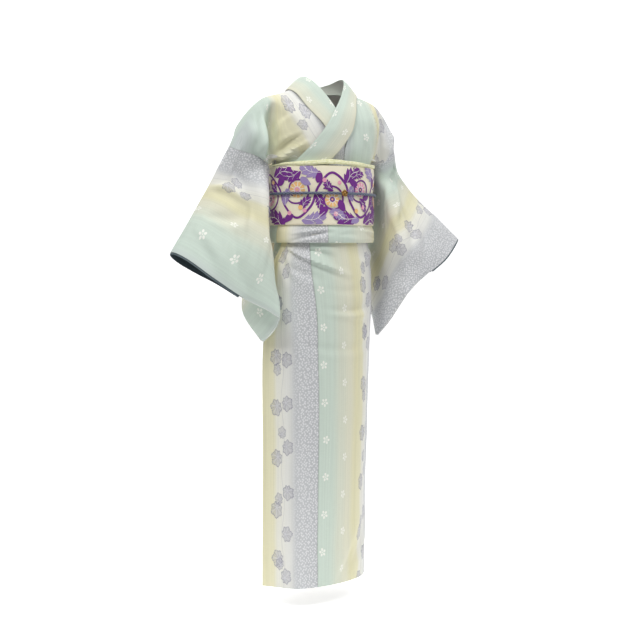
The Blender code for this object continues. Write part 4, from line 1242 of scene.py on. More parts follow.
# %% The upper end of the left overlap strip
def make_overlap_upper():
    heights = np.linspace(OVERLAP_UPPER[0][0], BODICE_END_Z, 40)
    places = through([row[1] for row in OVERLAP_UPPER], [-row[0] for row in OVERLAP_UPPER], -heights)[:, 0]
    shares = np.linspace(0, 1, 14)
    rows = []
    for z, place in zip(heights, places):
        x = body_edge(place)[0] + (OVERLAP_SEAM_X - 3 * SEAM_GAP - body_edge(place)[0]) * shares
        rows.append([chest_point(here, z, OVERLAP_UPPER_INSET) for here in x])
    points = np.array(rows)
    place = bolt_place(0.300 + 0.075 * shares, 0.2 - heights[:, None], (1 - shares) * 0.05)
    made = cloth("overlap_left_upper", points, np.broadcast_to([0.0, -1.0, 0.0], points.shape), place,
                 CLOTH, SILK, LINING, ["overlap_left_upper"], "lavender")
    wide = round(float(lengths(points[-1])[-1]), 3)


make_overlap_upper()

# %% [markdown]
# ## Skirt
#
# The skirt is one width of cloth after another, wrapped left over right. Its line in plan is read
# round the body at every height. The under front follows the over front from behind, a few
# millimetres in, so the two never touch, whatever the fold.

# %% The skirt's line at one height
def skirt_line(z, shares):
    heights = [-row[0] for row in SKIRT]
    belt = np.array([oval(*place, 0)[:2] for place in zip(SKIRT_BELT_ANGLES, SKIRT_BELT_INSETS)])
    keys = np.array([belt, belt] + [row[1:] for row in SKIRT])
    outer = through(keys.reshape(len(keys), -1), [-SKIRT_TOP_Z, -UNDER_BELT_Z] + heights, -z).reshape(-1, 2)
    lap = []
    for _, follows in SKIRT_LAP:
        ahead, here, behind = through(outer, SKIRT_PLACES, [follows + 0.01, follows, follows - 0.01])
        along = unit(ahead - behind)
        lap.append(here + LAP_GAP * np.array([-along[1], along[0]]))
    places = list(SKIRT_PLACES) + [row[0] for row in SKIRT_LAP]
    plan = through(np.concatenate([outer, lap]), places, shares)
    tangent = unit(np.gradient(plan, axis=0))
    out = np.column_stack([tangent[:, 1], -tangent[:, 0], np.zeros(len(plan))])
    return np.column_stack([plan, np.full(len(plan), z)]), out


# %% Folds of the skirt, each with its own length and depth
# Columns: path of (metres round from the over front's edge, height), half width, rise.
SKIRT_FOLDS = [
    ([(0.010, -0.434), (0.080, -0.462), (0.150, -0.488), (0.215, -0.512)], 0.0055, 0.0090),
    ([(0.050, -0.436), (0.112, -0.450), (0.170, -0.470)], 0.0065, -0.0055),
    ([(0.006, -0.448), (0.036, -0.482), (0.066, -0.528)], 0.0070, -0.0050),
    ([(0.040, -0.480), (0.080, -0.500), (0.140, -0.520)], 0.0085, -0.0040),
    ([(0.085, -0.440), (0.130, -0.444), (0.172, -0.452)], 0.0050, 0.0035),
    ([(0.004, -0.440), (0.018, -0.470), (0.022, -0.510)], 0.0060, 0.0040),
    ([(0.145, -0.594), (0.210, -0.600), (0.300, -0.590)], 0.0090, -0.0040),
    ([(0.160, -0.612), (0.230, -0.618), (0.310, -0.606)], 0.0080, 0.0030),
    ([(0.090, -0.684), (0.200, -0.698), (0.300, -0.690)], 0.0110, -0.0034),
    ([(0.150, -0.545), (0.200, -0.552), (0.260, -0.548)], 0.0080, -0.0024),
    ([(0.190, -1.275), (0.222, -1.210), (0.270, -1.120)], 0.0150, 0.0060),
    ([(0.230, -1.280), (0.262, -1.230), (0.300, -1.170)], 0.0120, -0.0050),
    ([(0.060, -1.270), (0.075, -1.120), (0.070, -0.940)], 0.0180, 0.0040),
    ([(0.120, -1.280), (0.150, -1.140), (0.160, -0.960)], 0.0180, -0.0042),
    ([(0.250, -0.480), (0.310, -0.466), (0.370, -0.452)], 0.0120, 0.0045),
    ([(0.300, -0.700), (0.318, -0.900), (0.308, -1.150)], 0.0240, -0.0050),
    ([(0.350, -0.560), (0.372, -0.800), (0.366, -1.050)], 0.0240, 0.0048),
    ([(0.520, -0.560), (0.590, -0.500), (0.630, -0.450)], 0.0150, 0.0045),
    ([(0.470, -0.640), (0.480, -0.860), (0.462, -1.130)], 0.0260, -0.0050),
    ([(0.560, -0.700), (0.548, -0.930), (0.560, -1.210)], 0.0280, 0.0052),
    ([(0.640, -0.580), (0.655, -0.820), (0.648, -1.060)], 0.0240, -0.0044),
    ([(0.660, -0.450), (0.710, -0.490), (0.745, -0.560)], 0.0140, 0.0042),
    ([(0.720, -0.740), (0.712, -0.960), (0.730, -1.240)], 0.0260, 0.0048),
    ([(0.800, -0.480), (0.860, -0.520), (0.920, -0.600)], 0.0150, 0.0040),
    ([(0.905, -0.620), (0.900, -0.860), (0.912, -1.120)], 0.0220, -0.0040),
]
# Columns: name, slot, first and last share of the way round, columns of points, places across the bolt by
# share of the piece, shift of the print along the bolt.
SKIRT_PIECES = [
    ("overlap_left", "lavender", 0.000, OVERLAP_SHARE, 46,
     [(0.0, 0.195), (0.2, 0.235), (0.48, 0.298), (1.0, 0.380)], 0.020),
    ("front_left", "mint", OVERLAP_SHARE, FRONT_SHARE, 74,
     [(0.0, 0.045), (0.20, 0.105), (0.40, 0.185), (0.50, 0.222), (0.58, 0.262), (0.70, 0.302),
      (1.0, 0.372)], -0.0563),
    ("back_left", "cream", FRONT_SHARE, 0.660, 58, [(0.0, 0.360), (1.0, 0.060)], 0.050),
    ("back_right", "cream", 0.660, 0.880, 58, [(0.0, 0.340), (1.0, 0.040)], 0.013),
    ("front_right", "yellow", 0.880, 1.200, 74, [(0.0, 0.050), (1.0, 0.330)], 0.031),
    ("overlap_right", "lavender", 1.200, 1.390, 40, [(0.0, 0.240), (1.0, 0.380)], 0.044),
]


# %% The skirt's pieces
# Columns: height, shift of the overlap seam in shares of the way round. The strip is pulled up at the waist.
SEAM_LEAN = [(-0.430, -0.050), (-0.507, -0.030), (-0.572, -0.017), (-0.760, -0.003), (-0.950, 0.0)]


def leaning(shares, z):
    """The shares with the overlap seam moved at this height, and both edges of its two strips kept."""
    lean = through([row[1] for row in SEAM_LEAN], [-row[0] for row in SEAM_LEAN], -z)[0, 0]
    return shares + lean * np.interp(shares, [0.0, OVERLAP_SHARE, FRONT_SHARE], [0.0, 1.0, 0.0])


def skirt_height(round_way, z):
    """How far the skirt's folds move it out. They fade away under the belt."""
    height = fold_height(round_way, z, SKIRT_FOLDS) + soft_waves(round_way, z, 31, 0.0010, 0.16)
    return height * ease(-z, -UNDER_BELT_Z, -UNDER_BELT_Z + 0.02)


def make_skirt():
    seam = 0.8 * SEAM_GAP / SKIRT_ROUND
    top = np.linspace(SKIRT_TOP_Z, UNDER_BELT_Z, 6)[:-1]
    heights = np.concatenate([top, np.linspace(UNDER_BELT_Z, HEM_Z, 150)])
    for name, slot, first, last, columns, bolt, shift in SKIRT_PIECES:
        shares = np.linspace(first + seam, last - seam, columns)
        rows, outs = [], []
        for z in heights:
            line, out = skirt_line(z, leaning(shares, z))
            rows.append(line)
            outs.append(out)
        points = np.array(rows)
        outward = np.array(outs)
        round_way = np.array([leaning(shares, z) for z in heights]) * SKIRT_ROUND
        z = points[..., 2].copy()
        height = skirt_height(round_way, z)
        if last > SKIRT_LAP[0][0]:
            over = skirt_height(np.interp(shares, *zip(*SKIRT_LAP)) * SKIRT_ROUND, z)
            beneath = ease(shares, 0.98, 1.04)[None, :]
            height = height * (1 - beneath) + np.minimum(over, 0.0018) * beneath
        points = points + outward * height[..., None]
        under = ease(shares, 0.90, 1.04)[None, :]
        points[..., 2] += UNDER_HEM_RISE * under * ease(-z, 0.90, 1.29)
        wide = (last - first) * SKIRT_ROUND
        part = (shares - shares[0]) / (shares[-1] - shares[0])
        from_low = part * wide + (1.0 if name == "overlap_left" else 0.0)
        from_high = (1 - part) * wide + (1.0 if name == "overlap_right" else 0.0)
        place = bolt_place(np.interp(part, *zip(*bolt)), shift + 2 - z, np.minimum(from_low, from_high))
        made = cloth("skirt_" + name, points, outward, place, CLOTH, SILK, LINING, ["skirt_" + name], slot)
        wide = float(lengths(points[len(points) // 2])[-1])


make_skirt()

# %% [markdown]
# ## The tuck under the belt
#
# The spare length is folded up and its rounded fold shows below the belt as a strip about 4 cm
# high. It belongs to the same panels as the cloth above it, so it is sewn where they are.

# %% The tuck's pieces
# Columns: path of (metres round, height), half width, rise.
TUCK_FOLDS = [
    ([(-0.335, -0.426), (-0.290, -0.414), (-0.235, -0.400)], 0.0055, -0.0051),
    ([(-0.330, -0.408), (-0.280, -0.400), (-0.225, -0.393)], 0.0050, 0.0039),
    ([(-0.215, -0.410), (-0.180, -0.408), (-0.150, -0.413)], 0.0060, -0.0021),
    ([(-0.140, -0.399), (-0.100, -0.402), (-0.060, -0.398)], 0.0060, 0.0027),
    ([(-0.034, -0.390), (-0.022, -0.406), (-0.026, -0.424)], 0.0050, 0.0051),
    ([(-0.008, -0.392), (0.002, -0.408), (-0.004, -0.424)], 0.0040, -0.0039),
    ([(0.060, -0.395), (0.110, -0.404), (0.150, -0.400)], 0.008, 0.0033),
    ([(0.200, -0.400), (0.250, -0.396), (0.290, -0.404)], 0.008, -0.0030),
    ([(0.330, -0.396), (0.360, -0.406), (0.392, -0.402)], 0.008, 0.0033),
]
# Columns: name, slot, first and last angle, columns of points, places across the bolt by angle.
TUCK_PIECES = [
    ("tuck_overlap", "lavender", -168, -106, 44,
     [(-168, 0.205), (-148, 0.246), (-142, 0.298), (-106, 0.380)]),
    ("tuck_front", "mint", -106, 0, 74, [(-106, 0.045), (-40, 0.185), (0, 0.300)]),
    ("tuck_back", "cream", 0, 192, 130, [(0, 0.360), (90, 0.060), (91.5, 0.340), (192, 0.040)]),
]
TUCK_CLOTH = 0.0012
TUCK_MIDDLE = (0.0040, -0.405)
# The mean radius of the belt's oval, for lengths round the tuck.
TUCK_REACH = 0.131


def make_tuck():
    half_gap = np.degrees(SEAM_GAP / 2 / OBI_HALF_DEPTH)
    keys = np.array([(0.0, -inset, z) for inset, z in TUCK_SECTION])
    section = evenly(keys, np.linspace(0, 1, 46))
    run = lengths(section)
    for name, slot, first, last, columns, bolt in TUCK_PIECES:
        angles = np.linspace(first + half_gap, last - half_gap, columns)
        points = np.array([[oval(angle, -inset, z) for angle in angles] for _, inset, z in section])
        middle = np.array([oval(angle, *TUCK_MIDDLE) for angle in angles])
        outward = points - middle
        round_way = np.radians(angles) * TUCK_REACH
        z = points[..., 2]
        height = fold_height(round_way, z, TUCK_FOLDS) + soft_waves(round_way, z, 41, 0.0005, 0.05)
        showing = ease(run, 0.018, 0.030) * (1 - ease(run, 0.052, 0.062))
        points = points + facing_out(points, outward) * (height * showing[:, None])[..., None]
        wide = np.radians(last - first) * TUCK_REACH
        part = (angles - angles[0]) / (angles[-1] - angles[0])
        edge = np.minimum(part, 1 - part) * wide
        place = bolt_place(np.interp(angles, *zip(*bolt)), run[:, None] + 0.36, edge)
        made = cloth(name, points, outward, place, TUCK_CLOTH, SILK, LINING, [name], slot)


make_tuck()

# %% [markdown]
# ## The belt
#
# The belt goes round the waist as a stiff folded band, and behind it stands the drum bow: a loop
# over a folded end, with the tail hanging out under it. The vine on it is woven in coloured thread,
# so it is modelled as thin shapes on the band's face. A leaf drawn flat and then laid on the curve
# keeps its outline, and each shape is read through the same map from flat cloth to bent cloth.

# %% The band
BAND_LOW = OBI_LOW_Z
BAND_HIGH = OBI_HIGH_Z


def band_face(degrees, z):
    """A point of the band's face. The cord presses a groove, and both edges are folded, so they round in."""
    out = through([row[0] for row in OBI_SECTION], [row[1] for row in OBI_SECTION], z)[0, 0]
    out -= 0.0016 * (1 - ease(z, BAND_LOW, BAND_LOW + 0.003)) + 0.0016 * ease(z, BAND_HIGH - 0.003, BAND_HIGH)
    return oval(degrees, -out, z)


def make_band():
    ends = np.array([0, 0.0008, 0.0018, 0.0032])
    middle = np.linspace(BAND_LOW + 0.006, BAND_HIGH - 0.006, 40)
    heights = np.concatenate([BAND_LOW + ends, middle, BAND_HIGH - ends[::-1]])
    angles = np.linspace(90.1, 449.9, 181)
    points = np.array([[band_face(angle, z) for angle in angles] for z in heights])
    outward = (points - [AXIS_X, 0, 0]) * [1, 1, 0]
    run = lengths(points[20])
    wave = soft_waves(run[None, :], heights[:, None], 51, 0.0004, 0.10)
    points = points + unit(outward) * wave[..., None]
    made = cloth("obi_band", points, outward, bolt_place(heights[:, None], run[None, :]), OBI_CLOTH,
                 OBI_GROUND, OBI_GROUND, ["obi_band"], "violet")
    return made, float(run[-1])


# %% The drum bow, its tail and the folded end inside it
def bent_band(name, section, half_width, rows):
    keys = np.array([(0.0, y, z) for y, z in section])
    line = evenly(keys, np.linspace(0, 1, rows))
    x = np.linspace(-half_width, half_width, 60)
    points = np.repeat(line[:, None], len(x), axis=1)
    points[:, :, 0] = x + AXIS_X
    points[:, :, 1] -= (x / half_width) ** 2 * BOW_CURVE
    middle = line.mean(axis=0) - [0, 0.02, 0]
    outward = (points - middle) * [0, 1, 1]
    run = lengths(line)
    wave = soft_waves(x[None, :], run[:, None], 61 + rows, 0.0006, 0.12)
    wave = wave * (ease(run, 0.06, 0.10) * (1 - ease(run, run[-1] - 0.05, run[-1])))[:, None]
    points = points + facing_out(points, outward) * wave[..., None]
    made = cloth(name, points, outward, bolt_place(x[None, :], run[:, None]), OBI_CLOTH, OBI_GROUND,
                 OBI_GROUND, [name], "violet")
    return made, points, run


def make_hand():
    z = np.linspace(HAND_LOW_Z, HAND_HIGH_Z, 24)
    x = np.linspace(-HAND_HALF_WIDTH, HAND_HALF_WIDTH, 60)
    points = np.array([[(here + AXIS_X, HAND_Y + HAND_HALF_THICKNESS, height) for here in x] for height in z])
    rim = np.minimum(z - z[0], z[-1] - z)[:, None]
    points[..., 1] -= 0.002 * (1 - ease(rim, 0.0, 0.004))
    return cloth("obi_hand", points, np.broadcast_to([0.0, 1.0, 0.0], points.shape),
                 bolt_place(z[:, None], x[None, :]), 2 * HAND_HALF_THICKNESS - 0.001, OBI_GROUND, OBI_GROUND,
                 ["obi_hand"], "violet")


BAND, BAND_ROUND = make_band()
DRUM, DRUM_POINTS, DRUM_RUN = bent_band("obi_drum", DRUM_SECTION, DRUM_HALF_WIDTH, 90)
TAIL, _, TAIL_RUN = bent_band("obi_tail", TAIL_SECTION, TAIL_HALF_WIDTH, 26)
HAND = make_hand()

# %% [markdown]
# ### The woven vine
#
# Each motif is a flat outline in metres: a long leaf with pointed lobes, a round blossom of ten
# petals, a bud or a berry, a ribbon for the stem. A map then lays it on the band or the drum. The
# layout is listed below, leaf by leaf.

# %% Flat shapes
def disc(outline, centre, turn, rings=4, around=40, lift=0.0004):
    """A filled outline, as points (across, up, lift) and faces. outline gives the radius for each angle."""
    angles = np.linspace(0, 2 * np.pi, around, endpoint=False)
    radius = outline(angles)
    points = []
    for share in np.linspace(0, 1, rings):
        for angle, reach in zip(angles, radius):
            along = reach * share * np.cos(angle)
            beside = reach * share * np.sin(angle)
            points.append((centre[0] + along * np.cos(turn) - beside * np.sin(turn),
                           centre[1] + along * np.sin(turn) + beside * np.cos(turn), lift))
    return points, ring_faces(rings, around)


def blade(centre, size, turn, bend, lobes, lift):
    """A curved leaf blade. With lobes above zero its sides swell to that many points towards the tip."""
    part = np.linspace(0, 1, 61)
    ramp = (part * lobes) % 1 if lobes else 0.8
    half = size * 0.60 * np.sin(np.pi * np.clip(part, 0.01, 0.995) ** 0.8) ** 0.70 * (0.64 + 0.42 * ramp)
    angles = turn + bend * (part - 0.5)
    way = np.column_stack([np.cos(angles), np.sin(angles)])
    line = np.cumsum(way, axis=0) * (2.1 * size / len(part))
    line += np.array(centre) - line[len(part) // 2]
    beside = np.column_stack([-way[:, 1], way[:, 0]])
    ahead = way * half[:, None] * (0.35 if lobes else 0.0)
    points = []
    for share in (-1.0, 0.0, 1.0):
        points += [(*point, lift) for point in line + beside * half[:, None] * share + ahead * abs(share)]
    count = len(part)
    faces = [(k * count + i, k * count + i + 1, (k + 1) * count + i + 1, (k + 1) * count + i)
             for k in range(2) for i in range(count - 1)]
    return points, faces


def toward(angle):
    """A step of one metre on the flat cloth."""
    return np.array([np.cos(angle), np.sin(angle)])


def bloom_outline(size, petals):
    return lambda a: size * (0.82 + 0.18 * np.abs(np.cos(petals / 2 * a)) ** 0.6)


def scroll(centre, size, start, turns):
    """A path that winds in round a centre, from the start angle in degrees."""
    angles = np.radians(start) + np.linspace(0, 2 * np.pi * turns, 12)
    reach = size * np.linspace(1.25, 0.62, 12)
    return [np.array(centre) + r * toward(a) for a, r in zip(angles, reach)]


def ribbon(path, wide, lift=0.0003):
    keys = np.array([(x, y, 0.0) for x, y in path])
    line = evenly(keys, np.linspace(0, 1, 12 * len(path)))[:, :2]
    way = unit(np.gradient(line, axis=0))
    beside = np.column_stack([-way[:, 1], way[:, 0]])
    taper = (wide * (0.6 + 0.4 * np.sin(np.pi * np.linspace(0.1, 0.95, len(line)))))[:, None]
    points = [(*point, lift) for point in np.concatenate([line - beside * taper, line + beside * taper])]
    count = len(line)
    return points, [(i, i + 1, count + i + 1, count + i) for i in range(count - 1)]


def leaf(centre, size, turn, ink):
    """A long curved leaf with pointed lobes, its veins left as pale threads."""
    centre = np.array(centre)
    bend = 0.9 if int(centre[0] * 1000) % 2 else -0.8
    lift = 0.0004 + 0.0002 * (centre[0] * 7 % 1)
    shapes = [(blade(centre, size, turn, bend, 4.6, lift), ink)]
    tip = centre + size * toward(turn + 0.4 * bend)
    root = centre - size * toward(turn - 0.4 * bend)
    shapes.append((ribbon([root, centre, tip], size * 0.020, lift + 0.0004), "pale"))
    for share in (-0.30, 0.28):
        start = centre + size * share * toward(turn)
        for side in (-0.75, 0.75):
            way = toward(turn + side)
            ends = [start, start + way * size * 0.20, start + way * size * (0.42 - 0.15 * share)]
            shapes.append((ribbon(ends, size * 0.014, lift + 0.0004), "pale"))
    return shapes


def bloom(centre, size, turn, ink, heart):
    """A round blossom: ten petals parted by pale threads, a ring and a heart."""
    shapes = [(disc(bloom_outline(size, 10), centre, turn, around=80, lift=0.0006), ink)]
    for i in range(10):
        way = turn + (i + 0.5) * np.pi / 5
        ends = [np.array(centre) + r * size * toward(way) for r in (0.42, 0.66, 0.90)]
        shapes.append((ribbon(ends, size * 0.045, 0.0009), "pale"))
    shapes.append((disc(bloom_outline(size * 0.46, 8), centre, turn, lift=0.0010), "pale"))
    shapes.append((disc(bloom_outline(size * 0.36, 8), centre, turn, lift=0.0012), heart))
    shapes.append((disc(lambda a: size * 0.13 + 0 * a, centre, 0, lift=0.0014),
                   "orange" if heart != "orange" else "purple"))
    return shapes


# %% The layout on the front of the band, in metres from the middle of the front and from the lower edge
FRONT_VINES = [
    ([(-0.255, 0.096), (-0.212, 0.129), (-0.172, 0.098), (-0.150, 0.048), (-0.118, 0.018), (-0.083, 0.046),
      (-0.064, 0.096), (-0.030, 0.131), (0.006, 0.104), (0.024, 0.052), (0.054, 0.020), (0.090, 0.044),
      (0.108, 0.094), (0.140, 0.129), (0.174, 0.100), (0.194, 0.050), (0.228, 0.022), (0.262, 0.050),
      (0.285, 0.100)], 0.0030),
    (scroll((-0.206, 0.066), 0.028, 60, -1.05), 0.0024), (scroll((-0.117, 0.088), 0.029, 215, 1.10), 0.0025),
    (scroll((-0.029, 0.064), 0.028, 130, -1.05), 0.0025), (scroll((0.055, 0.090), 0.027, 200, 1.15), 0.0024),
    (scroll((0.141, 0.064), 0.029, 125, -1.10), 0.0025), (scroll((0.228, 0.090), 0.028, 210, 1.05), 0.0025),
]
FRONT_LEAVES = [
    ((-0.130, 0.122), 0.0250, 3.4, "purple"), ((-0.014, 0.028), 0.0233, 5.9, "lavender"),
    ((0.044, 0.128), 0.0216, 0.2, "purple"), ((0.130, 0.026), 0.0250, 0.4, "purple"),
    ((-0.040, 0.098), 0.0183, 2.2, "purple"), ((0.066, 0.052), 0.0200, 5.2, "purple"),
    ((-0.098, 0.056), 0.0200, 0.9, "purple"), ((0.150, 0.098), 0.0200, 0.9, "purple"),
    ((-0.190, 0.100), 0.0200, 2.0, "purple"), ((0.214, 0.056), 0.0200, 3.9, "purple"),
    ((-0.177, 0.016), 0.0350, 2.6, "purple"), ((-0.158, 0.134), 0.0299, 0.2, "purple"),
    ((-0.073, 0.014), 0.0316, 0.3, "lavender"), ((-0.086, 0.134), 0.0283, 2.7, "lavender"),
    ((0.006, 0.016), 0.0350, 2.9, "purple"), ((0.024, 0.128), 0.0299, 0.7, "purple"),
    ((0.098, 0.016), 0.0333, 0.1, "purple"), ((0.092, 0.134), 0.0283, 2.3, "lavender"),
    ((0.176, 0.018), 0.0333, 3.2, "lavender"), ((0.194, 0.128), 0.0316, 0.4, "purple"),
    ((-0.148, 0.072), 0.0216, 1.3, "lavender"), ((-0.060, 0.060), 0.0216, 4.9, "purple"),
    ((0.024, 0.080), 0.0200, 1.6, "lavender"), ((0.110, 0.060), 0.0216, 4.4, "purple"),
    ((0.196, 0.078), 0.0200, 1.4, "lavender"), ((-0.234, 0.026), 0.0316, 0.8, "lavender"),
]
FRONT_BLOOMS = [
    ((-0.206, 0.066), 0.0185, 0.2, "pink", "purple"), ((-0.117, 0.088), 0.0202, 0.5, "orange", "pink"),
    ((-0.029, 0.064), 0.0193, 0.1, "orange", "purple"), ((0.055, 0.090), 0.0188, 0.4, "pink", "purple"),
    ((0.141, 0.064), 0.0197, 0.3, "orange", "pink"), ((0.228, 0.090), 0.0190, 0.0, "pink", "purple"),
]
FRONT_BUDS = [
    ((-0.160, 0.112), 0.016, 0.9, "purple"), ((-0.140, 0.018), 0.015, 3.8, "purple"),
    ((-0.096, 0.108), 0.015, 5.6, "lavender"), ((-0.062, 0.120), 0.015, 1.4, "purple"),
    ((-0.004, 0.048), 0.016, 5.2, "purple"), ((-0.052, 0.034), 0.015, 4.0, "purple"),
    ((0.030, 0.106), 0.015, 2.6, "purple"), ((0.036, 0.012), 0.014, 3.4, "lavender"),
    ((0.080, 0.072), 0.014, 0.4, "purple"), ((0.112, 0.112), 0.015, 1.8, "purple"),
    ((0.160, 0.046), 0.015, 5.8, "purple"), ((0.116, 0.040), 0.014, 3.9, "purple"),
    ((0.182, 0.112), 0.015, 0.5, "purple"), ((0.206, 0.028), 0.014, 3.7, "purple"),
    ((-0.226, 0.104), 0.015, 2.4, "purple"), ((-0.137, 0.030), 0.0055, 1.2, "pink"),
    ((-0.108, 0.044), 0.0060, 0.3, "orange"), ((-0.098, 0.036), 0.0050, 2.0, "pink"),
    ((-0.049, 0.112), 0.0055, 0.6, "pink"), ((-0.010, 0.106), 0.0050, 1.8, "pink"),
    ((0.040, 0.036), 0.0060, -1.0, "orange"), ((0.064, 0.046), 0.0055, 0.8, "pink"),
    ((0.124, 0.106), 0.0055, -0.7, "orange"), ((0.158, 0.104), 0.0050, 0.4, "pink"),
    ((0.212, 0.040), 0.0055, 1.1, "pink"), ((-0.190, 0.108), 0.0055, 2.2, "orange"),
    ((-0.020, 0.028), 0.0060, 0.2, "pink"),
]
BACK_VINES = [
    ([(-0.150, 0.205), (-0.105, 0.248), (-0.060, 0.214), (-0.034, 0.176), (0.004, 0.170), (0.030, 0.210),
      (0.052, 0.258), (0.092, 0.262), (0.122, 0.222), (0.152, 0.190)], 0.0030),
    ([(-0.152, 0.330), (-0.110, 0.292), (-0.064, 0.316), (-0.040, 0.362), (0.004, 0.366), (0.036, 0.326),
      (0.072, 0.296), (0.112, 0.318), (0.150, 0.350)], 0.0030),
    (scroll((-0.104, 0.196), 0.026, 80, -1.05), 0.0025), (scroll((-0.012, 0.222), 0.028, 215, 1.10), 0.0025),
    (scroll((0.084, 0.214), 0.027, 110, -1.10), 0.0025), (scroll((-0.108, 0.344), 0.027, 240, 1.05), 0.0025),
    (scroll((-0.010, 0.318), 0.027, 100, -1.10), 0.0025), (scroll((0.076, 0.344), 0.027, 230, 1.10), 0.0025),
]
BACK_LEAVES = [
    ((-0.128, 0.270), 0.0356, 0.4, "purple"), ((-0.052, 0.262), 0.0340, 2.0, "lavender"),
    ((0.016, 0.270), 0.0324, -0.6, "purple"), ((0.076, 0.170), 0.0340, 1.4, "purple"),
    ((0.128, 0.270), 0.0324, -1.1, "lavender"), ((-0.062, 0.166), 0.0324, 1.0, "purple"),
    ((-0.066, 0.372), 0.0324, 2.6, "purple"), ((0.034, 0.380), 0.0324, 0.2, "lavender"),
    ((0.122, 0.368), 0.0308, -0.3, "purple"), ((-0.128, 0.150), 0.0324, 0.9, "lavender"),
    ((0.026, 0.148), 0.0308, -0.8, "purple"), ((0.052, 0.292), 0.0211, 1.9, "lavender"),
]
BACK_BLOOMS = [
    ((-0.104, 0.196), 0.0182, 0.3, "pink", "purple"), ((-0.012, 0.222), 0.0193, 0.6, "orange", "pink"),
    ((0.084, 0.214), 0.0187, 0.1, "orange", "purple"), ((-0.108, 0.344), 0.0187, 0.5, "orange", "pink"),
    ((-0.010, 0.318), 0.0185, 0.2, "pink", "purple"), ((0.076, 0.344), 0.0189, 0.8, "orange", "purple"),
]
BACK_BUDS = [((-0.084, 0.252), 0.016, 1.2, "purple"), ((-0.030, 0.254), 0.015, 4.9, "lavender"),
             ((0.056, 0.232), 0.015, 2.2, "purple"), ((0.104, 0.240), 0.015, 5.4, "purple"),
             ((-0.080, 0.320), 0.016, 0.7, "purple"), ((0.020, 0.346), 0.015, 3.9, "purple"),
             ((0.048, 0.362), 0.014, 1.8, "lavender"), ((-0.040, 0.192), 0.014, 3.3, "purple"),
             ((-0.078, 0.236), 0.0055, 1.0, "pink"), ((0.034, 0.242), 0.0055, 2.2, "orange"),
             ((-0.062, 0.296), 0.0060, -0.5, "pink"), ((0.104, 0.286), 0.0055, 0.4, "pink"),
             ((0.026, 0.184), 0.0055, 1.4, "pink"), ((-0.030, 0.342), 0.0050, 0.9, "orange")]


# %% Laying the shapes on the cloth
def band_map():
    """From flat cloth to the band's face: across is measured from the middle of the front."""
    angles = np.linspace(-250, 70, 641)
    line = np.array([band_face(angle, -0.31) for angle in angles])
    run = lengths(line)
    run -= np.interp(-90, angles, run)

    def place(across, up, lift):
        degrees = np.interp(across, run, angles)
        point = band_face(degrees, BAND_LOW + up)
        normal = unit(np.array([np.cos(np.radians(degrees)) / OBI_HALF_WIDTH,
                                np.sin(np.radians(degrees)) / OBI_HALF_DEPTH, 0.0]))
        return point + normal * (lift + 0.0004)

    return place, 0.0015, BAND_HIGH - BAND_LOW - 0.0015, 0.36


def grid_map(points, run, half_width):
    """From flat cloth to a bent band: across is measured from the middle and up along the section."""
    x = points[0, :, 0] - AXIS_X
    normals = facing_out(points, (points - points.mean(axis=(0, 1)) + [0, 0.02, 0]) * [0, 1, 1])

    def place(across, up, lift):
        row = np.interp(up, run, np.arange(len(run)))
        column = np.interp(across, x, np.arange(len(x)))
        r, c = min(int(row), len(run) - 2), min(int(column), len(x) - 2)
        u, v = row - r, column - c
        spot = sum(weight * np.concatenate([points[i, j], normals[i, j]]) for weight, i, j in (
            ((1 - u) * (1 - v), r, c), (u * (1 - v), r + 1, c),
            ((1 - u) * v, r, c + 1), (u * v, r + 1, c + 1)))
        return spot[:3] + unit(spot[3:]) * (lift + 0.0004)

    return place, 0.002, run[-1] - 0.002, half_width - 0.002


def weave_vine(name, mapping, vines, leaves, blooms, buds, node):
    """Joins all shapes of one vine into a single piece on the cloth."""
    place, low, high, side = mapping
    shapes = [(ribbon(path, wide), "purple") for path, wide in vines]
    for item in leaves:
        shapes += leaf(*item)
    for item in blooms:
        shapes += bloom(*item)
    for centre, size, turn, ink in buds:
        if size > 0.010:
            shapes.append((blade(centre, size, turn, 0.9, 0, 0.0007), ink))
        else:
            shapes.append((disc(lambda a: size + 0 * a, centre, turn, around=20, lift=0.0008), ink))
    inks = list(OBI_INKS)
    points, faces, slots, flat = [], [], [], []
    for (spots, corners), ink in shapes:
        base = len(points)
        for across, up, lift in spots:
            across = float(np.clip(across, -side, side))
            up = float(np.clip(up, low, high))
            points.append(place(across, up, lift))
            flat.append((across, up, 1.0))
        faces += [tuple(base + i for i in corner) for corner in corners]
        slots += [inks.index(ink)] * len(corners)
    mesh = bpy.data.meshes.new(name)
    mesh.from_pydata([tuple(point) for point in points], [], faces)
    note_bolt(mesh, flat)
    for ink in inks:
        mesh.materials.append(OBI_INKS[ink])
    mesh.polygons.foreach_set("material_index", slots)
    mesh.shade_smooth()
    obj = in_scene(name, mesh)
    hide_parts(node)
    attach(obj, "root")
    print(f"{name}: {len(shapes)} shapes, {len(faces)} faces")
    return obj


FRONT_VINE = weave_vine("obi_band_vine", band_map(), FRONT_VINES, FRONT_LEAVES, FRONT_BLOOMS, FRONT_BUDS,
                        "obi_band")
BACK_VINE = weave_vine("obi_drum_vine", grid_map(DRUM_POINTS, DRUM_RUN, DRUM_HALF_WIDTH), BACK_VINES,
                       BACK_LEAVES, BACK_BLOOMS, BACK_BUDS, "obi_drum")

# %% [markdown]
# ## Sash, cord and brooch
#
# The sash is a crinkled roll of crepe at the belt's upper edge, and the cord a braid whose strands
# cross every 5 mm. Both are tubes about a line, but the sash swells and shrinks as it goes.

# %% Tubes
def round_angles(count):
    """The angles of a tube's columns. The first column is at the back."""
    return np.linspace(np.pi, 3 * np.pi, count + 1)


